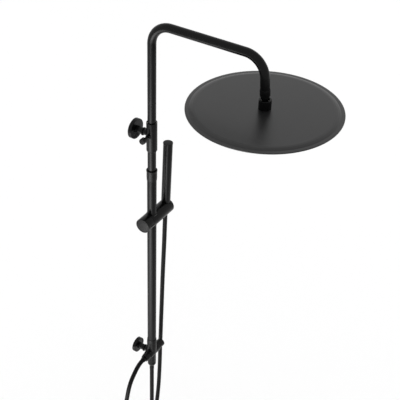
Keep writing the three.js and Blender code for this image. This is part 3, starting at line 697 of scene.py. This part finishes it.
# %% Riser tube
ARM_HEIGHT = 305
ARM_REACH = 300
BEND_RADIUS = 53
DROP_LEAN = radians(4.4)
TUBE_WALL = 1.2
HEAD_HEIGHT = 181
BALL_ABOVE_HEAD = 12
BALL_DROP = (ARM_HEIGHT - HEAD_HEIGHT - BALL_ABOVE_HEAD) / cos(DROP_LEAN)
RING_LOW = 19.8
TUBE_LOW = RING_LOW + 2.4
RISER_BOTTOM = -330
corner = COLUMN + Vector((0, -ARM_REACH, ARM_HEIGHT))
down_drop = Vector((0, -sin(DROP_LEAN), -cos(DROP_LEAN)))


def riser_line(steps=28):
    points = [Vector((0, 0, RISER_BOTTOM))]
    for i in range(steps + 1):
        angle = pi / 2 * i / steps
        out = BEND_RADIUS * (1 - cos(angle))
        points.append(Vector((0, -out, ARM_HEIGHT - BEND_RADIUS * (1 - sin(angle)))))
    turn = pi / 2 - DROP_LEAN
    start = ARM_REACH - BEND_RADIUS * tan(turn / 2)
    for i in range(steps + 1):
        angle = turn * i / steps
        fall = BEND_RADIUS * (1 - cos(angle))
        points.append(Vector((0, -start - BEND_RADIUS * sin(angle), ARM_HEIGHT - fall)))
    end = Vector((0, -ARM_REACH, ARM_HEIGHT)) + down_drop * (BALL_DROP - TUBE_LOW)
    return [p + COLUMN for p in points + [end]]


def walled_tube(line, outer, inner, sides=64):
    """A tube with a wall, along a line that lies in the plane X = 0."""
    shape = bmesh.new()
    rings = {outer: [], inner: []}
    for i, point in enumerate(line):
        way = (line[min(i + 1, len(line) - 1)] - line[max(i - 1, 0)]).normalized()
        across = way.cross(RIGHT)
        for radius, made in rings.items():
            made.append([
                shape.verts.new((point + radius * (
                    cos(2 * pi * k / sides) * RIGHT + sin(2 * pi * k / sides) * across
                )) * MM) for k in range(sides)
            ])
    loop = rings[outer] + rings[inner][::-1]
    for a, b in zip(loop, loop[1:] + loop[:1]):
        for k in range(sides):
            m = (k + 1) % sides
            shape.faces.new((a[k], a[m], b[m], b[k]))
    bmesh.ops.recalc_face_normals(shape, faces=shape.faces)
    return shape


riser_shape = walled_tube(riser_line(), RISER_R, RISER_R - TUBE_WALL)
riser = new_object("riser_fine", mesh_of("riser_fine", riser_shape))
settle(riser, "riser", "riser_arm_tube", satin_black)

# %% [markdown]
# ## The ball joint
# A ring closes the tube's end, a hollow ball hangs from it and a nut holds the ball down on the
# head. The stem is coned under the ring, so the head can tilt before it touches.

# %% Ring, ball and nut
BALL_R = 9.5
BALL_BORE_R = 4
NECK_R = 6.5
STEM_FOOT_R = 9.8
END_RING_R = 12
END_RING_TOP = RING_LOW + 16.4
SEAT_WALL = 1
NUT_R = 14.9
NUT_TOP = 11.4
ball_centre = corner + down_drop * BALL_DROP
along_drop = Matrix.Translation(ball_centre) @ Matrix.Rotation(-DROP_LEAN, 4, "X")
at_ball = Matrix.Translation(ball_centre)


def arc(radius, start, end, steps=16):
    angles = [radians(start + (end - start) * i / steps) for i in range(steps + 1)]
    return [(radius * cos(a), radius * sin(a)) for a in angles]


turned("arm_end_ring", "riser", [
    (STEM_FOOT_R, RING_LOW), (END_RING_R, RING_LOW, 0.5), (END_RING_R, END_RING_TOP, 0.5),
    (RISER_R + GAP, END_RING_TOP), (RISER_R + GAP, TUBE_LOW - GAP), (STEM_FOOT_R, TUBE_LOW - GAP),
], along_drop)
turned("arm_ball", "riser", [
    *arc(BALL_R, degrees(asin(BALL_BORE_R / BALL_R)) - 90, degrees(acos(NECK_R / BALL_R))),
    (NECK_R, 13.5), (STEM_FOOT_R, 15.1, 0.3), (STEM_FOOT_R, RING_LOW - GAP),
    (STEM_FOOT_R - GAP, RING_LOW - GAP), (STEM_FOOT_R - GAP, TUBE_LOW + 12),
    (BALL_BORE_R, TUBE_LOW + 12),
], along_drop)
CAVITY_R = BALL_R + GAP + SEAT_WALL + GAP
NUT_FOOT = GAP - BALL_ABOVE_HEAD
turned("head_ball_nut", "head", [
    *arc(CAVITY_R, degrees(asin(6.6 / CAVITY_R)), 0, 8), (CAVITY_R, NUT_FOOT),
    (NUT_R, NUT_FOOT, 0.3), (NUT_R, NUT_TOP, 1.3), (10.5, NUT_TOP, 0.2),
], at_ball)

# %% [markdown]
# ## Overhead head
# The head is a thin spun dish. Its top is flat, then falls in a soft shoulder to a narrow lip,
# and that lip catches the light all round. It needs many sides: at this diameter, fewer than
# about 200 show as corners in the outline.

# %% Shell
HEAD_R = 180
HEAD_FLAT_R = 158
HEAD_SKIN = 1.5
HEAD_FALL = 3.3
HEAD_DEPTH = 6.2
HEAD_SIDES = 240
INLET_R = 6
PLATE_R = HEAD_R - 4.6
LIP_IN = HEAD_R - 9
PLATE_TOP = -5.2
PLATE = 1.5
at_head = Matrix.Translation(ball_centre - Vector((0, 0, BALL_ABOVE_HEAD)))
turned("head_shell", "head", [
    (INLET_R, 0), (HEAD_FLAT_R, 0, 6), (HEAD_FLAT_R + 5, -0.5, 3), (LIP_IN - 3, -1.9, 1.5),
    (LIP_IN, -HEAD_FALL, 1.0), (HEAD_R, -HEAD_FALL, 0.9), (HEAD_R, -HEAD_DEPTH, 0.9),
    (PLATE_R + GAP, -HEAD_DEPTH), (PLATE_R + GAP, PLATE_TOP + GAP), (LIP_IN - 1, PLATE_TOP + GAP),
    (LIP_IN - 4, -3.4), (HEAD_FLAT_R, -HEAD_SKIN), (INLET_R, -HEAD_SKIN),
], at_head, head_black, HEAD_SIDES)

# %% [markdown]
# The nozzles repeat in rings, so Geometry Nodes place them: one list of points serves twice, to
# drill the spray plate and to set a soft cone in each hole. If the rings change, both follow.

# %% Nozzle places
NOZZLE_RINGS = 3
NOZZLE_PITCH = 45
NOZZLE_SIDES = 14
HOLE_R = 2.1
DRILL_LENGTH = 8


def nozzle_places():
    places = [Vector((0, 0, 0))]
    for row in range(1, NOZZLE_RINGS + 1):
        ring = row * NOZZLE_PITCH
        for i in range(6 * row):
            angle = 2 * pi * (i + 0.5 * (row % 2)) / (6 * row)
            places.append(Vector((ring * cos(angle), ring * sin(angle), 0)))
    return places


def points_object(name, places):
    mesh = bpy.data.meshes.new(name)
    mesh.from_pydata([p * MM for p in places], [], [])
    return new_object(name, mesh)


def cones_tree():
    tree = new_tree("cones on points", {
        "Base": "NodeSocketFloat", "Tip": "NodeSocketFloat", "Height": "NodeSocketFloat",
        "Turn": "NodeSocketVector", "Material": "NodeSocketMaterial",
    })
    given = tree.nodes.new("NodeGroupInput")
    cone = tree.nodes.new("GeometryNodeMeshCone")
    cone.inputs["Vertices"].default_value = NOZZLE_SIDES
    put = tree.nodes.new("GeometryNodeInstanceOnPoints")
    link_up(tree, [
        (given.outputs["Base"], cone.inputs["Radius Bottom"]),
        (given.outputs["Tip"], cone.inputs["Radius Top"]),
        (given.outputs["Height"], cone.inputs["Depth"]),
        (given.outputs["Geometry"], put.inputs["Points"]),
        (cone.outputs["Mesh"], put.inputs["Instance"]),
        (given.outputs["Turn"], put.inputs["Rotation"]),
    ])
    finishing(tree, given, put.outputs[0])
    return tree


def drill_tree():
    tree = new_tree("holes at points", {
        "Places": "NodeSocketObject", "Radius": "NodeSocketFloat", "Material": "NodeSocketMaterial",
    })
    given = tree.nodes.new("NodeGroupInput")
    places = tree.nodes.new("GeometryNodeObjectInfo")
    drill = tree.nodes.new("GeometryNodeMeshCylinder")
    drill.inputs["Vertices"].default_value = NOZZLE_SIDES
    drill.inputs["Depth"].default_value = DRILL_LENGTH * MM
    put = tree.nodes.new("GeometryNodeInstanceOnPoints")
    cut = tree.nodes.new("GeometryNodeMeshBoolean")
    cut.operation = "DIFFERENCE"
    link_up(tree, [
        (given.outputs["Places"], places.inputs["Object"]),
        (given.outputs["Radius"], drill.inputs["Radius"]),
        (places.outputs["Geometry"], put.inputs["Points"]),
        (drill.outputs["Mesh"], put.inputs["Instance"]),
        (given.outputs["Geometry"], cut.inputs["Mesh 1"]),
        (put.outputs[0], cut.inputs["Mesh 2"]),
    ])
    finishing(tree, given, cut.outputs[0])
    return tree


CONES = cones_tree()

# %% Spray plate and nozzles
NOZZLE_LENGTH = 3.6
MAT_R = NOZZLE_RINGS * NOZZLE_PITCH + 8
MAT_LOW = -4.9
MAT_HIGH = -3.9
spots = [at_head @ (p + Vector((0, 0, PLATE_TOP - PLATE / 2))) for p in nozzle_places()]
drill_points = points_object("drill_points", spots)
disc = rod(PLATE_R, PLATE_TOP - PLATE, PLATE_TOP, at_head, 0.2, HEAD_SIDES)
plate = new_object("spray_plate_fine", mesh_of("spray_plate_fine", disc))
made_by(drill_tree(), plate, {"Places": drill_points, "Radius": HOLE_R * MM, "Material": head_black})
bpy.data.objects.remove(drill_points)
settle(plate, "head", "spray_plate", head_black)
turned("nozzle_mat", "head", [
    (0, MAT_LOW), (MAT_R, MAT_LOW, 0.3), (MAT_R, MAT_HIGH, 0.3), (0, MAT_HIGH),
], at_head, silicone)
tips = points_object("nozzle_tips", [p - Vector((0, 0, 2.3)) for p in spots])
made_by(CONES, tips, {
    "Base": 1.15 * MM, "Tip": 1.8 * MM, "Height": NOZZLE_LENGTH * MM, "Turn": (0, 0, 0),
    "Material": silicone,
})
settle(tips, "head", "nozzle_mat", silicone)

# %% [markdown]
# ## Rail and collar
# The lower tube is a size larger than the riser and is plain. A stepped collar covers where they
# meet: a rolled lip on top, a straight body and a taper down on the rail.

# %% Rail and collar
RAIL_R = 12.5
DIVERTER_TOP = -718
RAIL_INSERT = 20                         # rail's length inside the diverter
COLLAR_TOP = -106.5
COLLAR_BOTTOM = -138
RAIL_TOP = COLLAR_TOP - 11.5
COLLAR_SKIRT_R = RAIL_R + 1.3
COLLAR_LIP_R = RAIL_R + 2
COLLAR_MOUTH_R = RISER_R + 0.6
COLLAR_STEP = COLLAR_TOP - 3.5
SOCKET_R = 14.2
SOCKET_HEIGHT = 16
turned("rail_tube", "column", [
    (RAIL_R - TUBE_WALL, DIVERTER_TOP - RAIL_INSERT), (RAIL_R, DIVERTER_TOP - RAIL_INSERT),
    (RAIL_R, RAIL_TOP, 0.3), (RAIL_R - TUBE_WALL, RAIL_TOP, 0.3),
], at_column)
turned("telescopic_collar", "collar", [
    (RAIL_R + GAP, COLLAR_BOTTOM), (RAIL_R + 0.8, COLLAR_BOTTOM, 0.2),
    (COLLAR_SKIRT_R, COLLAR_BOTTOM + 9.5, 2), (COLLAR_SKIRT_R, COLLAR_TOP - 6, 1),
    (COLLAR_LIP_R, COLLAR_STEP, 0.8), (COLLAR_LIP_R, COLLAR_TOP, 0.9),
    (COLLAR_MOUTH_R, COLLAR_TOP, 0.3), (COLLAR_MOUTH_R, COLLAR_STEP), (RAIL_R + GAP, COLLAR_STEP),
], at_column)
turned("rail_socket_ring", "column", [
    (RAIL_R + GAP, DIVERTER_TOP + GAP), (SOCKET_R, DIVERTER_TOP + GAP, 0.3),
    (SOCKET_R, DIVERTER_TOP + 3, 1), (RAIL_R + 0.9, DIVERTER_TOP + SOCKET_HEIGHT, 0.4),
    (RAIL_R + GAP, DIVERTER_TOP + SOCKET_HEIGHT),
], at_column)

# %% [markdown]
# ## Slider
# The slider is one horizontal barrel across the rail. Its left third is a knob that clamps it, and
# its right end is bored as a tapered cradle that is open on the outside, so that the hose slips
# in. The barrel is spun and then bored, like the real one.

# %% Slider barrel
SLIDER_DROP = 263
SLIDER_R = 20.4
GUIDE_BORE_R = 14.6
CLAMP_SCREW_BORE_R = 5.3
SEAM = 17
SLIDER_END = 75.6
KNOB_END = 43
CRADLE_X = 65
HANDSET_R = 12.5
LEAN = radians(1.6)
CONE_TOP = 4
CONE_TOP_R = 12.2
CONE_BOTTOM_R = 8.9
UNDER = -SLIDER_R
SLOPE = (CONE_TOP_R - CONE_BOTTOM_R) / (CONE_TOP - UNDER)
slider_centre = COLUMN - Vector((0, 0, SLIDER_DROP))
at_slider = aimed(slider_centre)
at_handset = (
    Matrix.Translation(slider_centre + Vector((CRADLE_X, 0, 0))) @ Matrix.Rotation(LEAN, 4, "X")
)
to_left = aimed(slider_centre, LEFT)
to_right = aimed(slider_centre, RIGHT)


def slider_block(x, y, z):
    """A box from the ranges of x, y and z about the slider's centre."""
    low, high = (slider_centre + Vector(c) for c in zip(x, y, z))
    return block(low, high)


SLOT = HOSE_R + 0.9
carved(
    "slider_body", "slider",
    spun([(0, -SEAM), (SLIDER_R, -SEAM, 0.35), (SLIDER_R, SLIDER_END, 0.9), (0, SLIDER_END)], to_right),
    [],
    [
        rod(GUIDE_BORE_R, UNDER - 1, SLIDER_R + 1, at_slider),
        spun([
            (0, UNDER - 6), (CONE_BOTTOM_R - 6 * SLOPE, UNDER - 6), (CONE_TOP_R, CONE_TOP),
            (HANDSET_R + 0.7, CONE_TOP), (HANDSET_R + 0.7, SLIDER_R + 6), (0, SLIDER_R + 6),
        ], at_handset),
        slider_block((CRADLE_X, SLIDER_END + 1), (-SLOT, SLOT), (UNDER - 1, SLIDER_R + 1)),
        rod(CLAMP_SCREW_BORE_R, INSIDE, SEAM + 1, to_left),
    ],
)

# %% Locking knob and its cap
CAP_R = 17.2
SCREW_COVER = 8
SPLIT_X = (-32, -16)                     # the knob's clamping slot
carved(
    "slider_knob", "locking_knob",
    spun([
        (0, SEAM + GAP), (SLIDER_R, SEAM + GAP, 0.35), (SLIDER_R, KNOB_END, 0.9), (0, KNOB_END),
    ], to_left),
    [],
    [
        rod(CAP_R + GAP, KNOB_END - 1.8, KNOB_END + 1, to_left),
        rod(CLAMP_SCREW_BORE_R, SEAM, KNOB_END - SCREW_COVER, to_left),
        slider_block(SPLIT_X, (UNDER - 1, UNDER + 4.5), (-1.4, 1.4)),
    ],
)
turned("slider_knob_cap", "locking_knob", [
    (0, KNOB_END - 1.5), (CAP_R, KNOB_END - 1.5), (CAP_R, KNOB_END - 0.2, 0.3), (0, KNOB_END - 0.2),
], to_left)

# %% [markdown]
# ## Handset
# The handset is a plain stick with a flat cap. The cone under it is the hose's nut, which fits the
# cradle's taper. Its spray strip lies along one side, and its jets come from the same tree as the
# head's nozzles, turned a quarter.

# %% Handset
BODY_LOW = CONE_TOP + GAP
HANDSET_LENGTH = 199
BODY_HIGH = BODY_LOW + HANDSET_LENGTH
HOSE_BORE_R = 4
SPIGOT_LOW = -7
HANDSET_CAP_R = HANDSET_R + 0.5
HANDSET_CAP = 3.1
STRIP = (110, 194)                       # spray strip's ends, up the handset
STRIP_HALF = 4.6
cone_low = UNDER + 1
turned("hose_cone_nut", "hose_cone", [
    (HOSE_BORE_R, cone_low), (CONE_BOTTOM_R + SLOPE - 0.35, cone_low, 0.5),
    (CONE_TOP_R - 0.35, 3.9, 0.3), (7.8, 3.9), (7.8, -10), (HOSE_BORE_R, -10),
], at_handset)
strip_cut = block(
    (5, -STRIP_HALF - GAP, STRIP[0] - GAP), (HANDSET_R + 2, STRIP_HALF + GAP, STRIP[1] + GAP),
    at_handset,
)
carved(
    "handset_body", "handset",
    spun([
        (HOSE_BORE_R, SPIGOT_LOW), (7.5, SPIGOT_LOW, 0.3), (7.5, BODY_LOW), (HANDSET_R, BODY_LOW, 1.2),
        (HANDSET_R, BODY_HIGH, 0.3), (10.7, BODY_HIGH), (10.7, BODY_LOW + 9),
        (HOSE_BORE_R, BODY_LOW + 6),
    ], at_handset),
    [],
    [strip_cut],
)
turned("handset_top_cap", "handset", [
    (0, BODY_HIGH - 4), (10.4, BODY_HIGH - 4), (10.4, BODY_HIGH + GAP),
    (HANDSET_CAP_R, BODY_HIGH + GAP, 0.3), (HANDSET_CAP_R, BODY_HIGH + HANDSET_CAP, 0.8),
    (0, BODY_HIGH + HANDSET_CAP),
], at_handset)

# %% Spray strip and jets
strip = block((9, -STRIP_HALF, STRIP[0]), (11.2, STRIP_HALF, STRIP[1]), at_handset)
bmesh.ops.bevel(strip, geom=strip.edges[:], offset=0.5 * MM, segments=2, affect="EDGES")
settle(
    new_object("spray_strip_fine", mesh_of("spray_strip_fine", strip)),
    "handset", "handset_spray_strip", silicone,
)
JETS = 11
JET_MARGIN = 6                           # from the strip's ends to the last jets
JET_SIDE = 2.1
jet_run = STRIP[1] - STRIP[0] - 2 * JET_MARGIN
jet_places = [
    at_handset @ Vector((11, side * JET_SIDE, STRIP[0] + JET_MARGIN + jet_run * i / (JETS - 1)))
    for i in range(JETS) for side in (-1, 1)
]
jets = points_object("spray_jets", jet_places)
made_by(CONES, jets, {
    "Base": 1.1 * MM, "Tip": 0.7 * MM, "Height": 1.2 * MM, "Turn": (0, pi / 2, 0), "Material": silicone,
})
settle(jets, "handset", "handset_spray_strip", silicone)

# %% [markdown]
# ## Diverter
# At the rail's foot a cross barrel sends the water up to the head or left to the handset's hose. A
# plain round knob turns it. The body is one casting: an upright barrel, a cross barrel and the
# wall boss, bored for the rail, the valve and the two unions.

# %% Diverter body
BODY_TOP = DIVERTER_TOP + BRACKET_SPACING
BODY_FOOT = -39
RAIL_END = BODY_TOP - RAIL_INSERT
BARREL_R = 14
FOOT_R = 12.6
CROSS_R = 13.5
CROSS_LEFT = 20
WATERWAY_R = 6.5
VALVE_RIGHT = 26
valve_centre = COLUMN + Vector((0, 0, -BRACKET_SPACING))
valve_up = aimed(valve_centre)
valve_left = aimed(valve_centre, LEFT)
valve_right = aimed(valve_centre, RIGHT)
carved(
    "diverter_body", "column",
    spun([
        (0, BODY_FOOT), (FOOT_R, BODY_FOOT, 1), (FOOT_R, 0, 0.5), (BARREL_R, 2, 0.5),
        (BARREL_R, BODY_TOP, 0.5), (0, BODY_TOP),
    ], valve_up),
    [spun([
        (0, -CROSS_LEFT), (CROSS_R, -CROSS_LEFT, 0.8), (CROSS_R, VALVE_RIGHT, 0.6), (0, VALVE_RIGHT),
    ], valve_right)] + wall_boss(-BRACKET_SPACING),
    [
        rod(RAIL_R + GAP, RAIL_END - GAP, BODY_TOP + 1, valve_up),
        rod(7, -4, RAIL_END + 1, valve_up),
        rod(WATERWAY_R, BODY_FOOT - 1, 0, valve_up),
        rod(8.3, -6, VALVE_RIGHT + 1, valve_right),
        rod(WATERWAY_R, 0, CROSS_LEFT + 1, valve_left),
    ],
)

# %% Diverter knob
KNOB_LOW = VALVE_RIGHT + GAP
KNOB_TOP = KNOB_LOW + 22
KNOB_R = 12.3
KNOB_CAP_R = 8.3
SPINDLE_BORE_R = 3.8
turned("diverter_knob", "selector", [
    (SPINDLE_BORE_R, KNOB_LOW), (KNOB_R, KNOB_LOW, 0.5), (KNOB_R, KNOB_TOP, 1.1),
    (KNOB_CAP_R + GAP, KNOB_TOP, 0.2), (KNOB_CAP_R + GAP, KNOB_TOP - 2),
    (SPINDLE_BORE_R, KNOB_TOP - 2),
], valve_right)
turned("diverter_knob_cap", "selector", [
    (0, KNOB_TOP - 1.7), (KNOB_CAP_R, KNOB_TOP - 1.7), (KNOB_CAP_R, KNOB_TOP, 0.3), (0, KNOB_TOP),
], valve_right)

# %% [markdown]
# ## Unions
# Each hose ends in a swivel nut with a crimped ferrule behind it. The two unions differ only in
# direction and in how far their nuts taper.

# %% Nuts and ferrules
THREAD = 8.2
NIPPLE_END = 8
WASHER = 1.7
SEAT = NIPPLE_END + WASHER + 2 * GAP
TAIL_BORE_R = 4
SWAGE_R = HOSE_R - 0.1
NUT_MOUTH_R = HOSE_R + 0.3
TAIL = SEAT + 2
NUT_LENGTH = 17.5


def union(prefix, direction, face, wide, end, ferrule_r, ferrule_length):
    where = aimed(valve_centre + direction * (face + GAP), direction)
    turned(f"{prefix}_nut", "column", [
        (THREAD + GAP, 2 * GAP), (wide, 2 * GAP, 0.5), (wide, NUT_LENGTH * 0.45, 2),
        (end, NUT_LENGTH, 0.5), (NUT_MOUTH_R, NUT_LENGTH), (NUT_MOUTH_R, TAIL + GAP),
        (THREAD + GAP, TAIL + GAP),
    ], where)
    foot = NUT_LENGTH + GAP
    turned(f"{prefix}_ferrule", "column", [
        (TAIL_BORE_R, SEAT), (THREAD, SEAT), (THREAD, TAIL), (SWAGE_R, TAIL), (SWAGE_R, foot),
        (ferrule_r, foot, 0.3), (ferrule_r, NUT_LENGTH + ferrule_length, 0.6),
        (TAIL_BORE_R, NUT_LENGTH + ferrule_length),
    ], where, hose_black)


union("outlet", LEFT, CROSS_LEFT, 12, 10.4, 7.4, 9)
union("inlet", DOWN, -BODY_FOOT, 12.3, 7.3, 6.7, 14)

# %% Supply hose's end
SUPPLY_END = -1312.3
at_end = aimed(COLUMN + Vector((0, 0, SUPPLY_END)), DOWN)
turned("supply_end_ferrule", "column", [
    (TAIL_BORE_R, 0), (6.7, 0, 0.4), (6.7, 14, 0.3), (SWAGE_R, 14), (SWAGE_R, 19), (THREAD, 19),
    (THREAD, 21), (TAIL_BORE_R, 21),
], at_end, hose_black)
turned("supply_end_nut", "column", [
    (NUT_MOUTH_R, 14.3), (10, 14.3, 0.4), (12, 17.3, 0.6), (12, 32.3, 0.5), (THREAD + GAP, 32.3),
    (THREAD + GAP, 19.3), (NUT_MOUTH_R, 19.3),
], at_end)

# %% [markdown]
# ## Pieces kept from the frame
# The bases, screws, bushes, nipples and washers hide inside and already have their right shape.
# They only need their finish, which goes in their material slots.

# %% Finishes on kept pieces
KEPT = {
    brass: ["upper_wall_base", "lower_wall_base", "riser_piston", "slider_clamp_screw",
            "diverter_cartridge", "diverter_spindle", "outlet_nipple", "inlet_nipple"],
    steel: ["upper_wall_screw_left", "upper_wall_screw_right", "lower_wall_screw_left",
            "lower_wall_screw_right"],
    nylon: ["sleeve_bush", "thumbscrew_pad", "ball_seat_upper", "collar_bush"],
    black_nylon: ["slider_bush"],
    rubber: ["riser_seal", "ball_seat_lower", "cone_washer", "outlet_washer", "inlet_washer",
             "supply_end_washer"],
}
for finish, names in KEPT.items():
    for name in names:
        kept_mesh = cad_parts[name].data
        kept_mesh.materials.clear()
        kept_mesh.materials.append(finish)
    print(finish.name, "on", len(names), "kept pieces")

# %% [markdown]
# ## Studio
# The setting is a plain white floor in a bright, even room, so it looks the same from every side.
# Black lacquer shows only what it reflects. An upright tube seen from above reflects the floor,
# weakly where it faces the eye and strongly at its edges, and that alone draws it. One lamp
# lights the floor at the left, which puts a soft stripe down the tubes. The view transform is
# Standard, which has no film-like curve, so white and the dark coats come out as they are set.

# %% Floor
FLOOR = -1.42                            # metres, as all of the studio
FLOOR_HALF = 30
floor_mesh = bpy.data.meshes.new("floor")
corners = [
    (x * FLOOR_HALF, y * FLOOR_HALF, FLOOR) for x, y in ((-1, -1), (1, -1), (1, 1), (-1, 1))
]
floor_mesh.from_pydata(corners, [], [(0, 1, 2, 3)])
floor = new_object("floor", floor_mesh)


def pale(f):
    return {"Base Color": f.mix(f.noise(0.4), grey(0.93), grey(0.95))}


floor_mesh.materials.append(material("pale_floor", pale, Roughness=0.9, Specular_IOR_Level=0.1))
bpy.context.scene.view_settings.view_transform = "Standard"

# %% Room light
ROOM_LIGHT = 1.07
world = bpy.data.worlds.new("studio")
bpy.context.scene.world = world
world.use_nodes = True
room = world.node_tree.nodes["Background"]
room.inputs["Color"].default_value = (1, 1, 1, 1)
room.inputs["Strength"].default_value = ROOM_LIGHT


# %% Lamp
LAMP_AT = Vector((-2.3, 0.3, 1.3))
LAMP_AIM = Vector((-1.9, -0.1, FLOOR))
LAMP_SIZE = 0.9
LAMP_POWER = 100                         # watts
LAMP_SPREAD = radians(56)
lamp_data = bpy.data.lights.new("left", "AREA")
lamp_data.shape = "DISK"
lamp_data.size = LAMP_SIZE
lamp_data.energy = LAMP_POWER
lamp_data.spread = LAMP_SPREAD
lamp = bpy.data.objects.new("left", lamp_data)
bpy.context.scene.collection.objects.link(lamp)
lamp.location = LAMP_AT
lamp.rotation_euler = (LAMP_AT - LAMP_AIM).to_track_quat("Z", "Y").to_euler()
print("room light", ROOM_LIGHT, "and a lamp of", LAMP_POWER, "W")
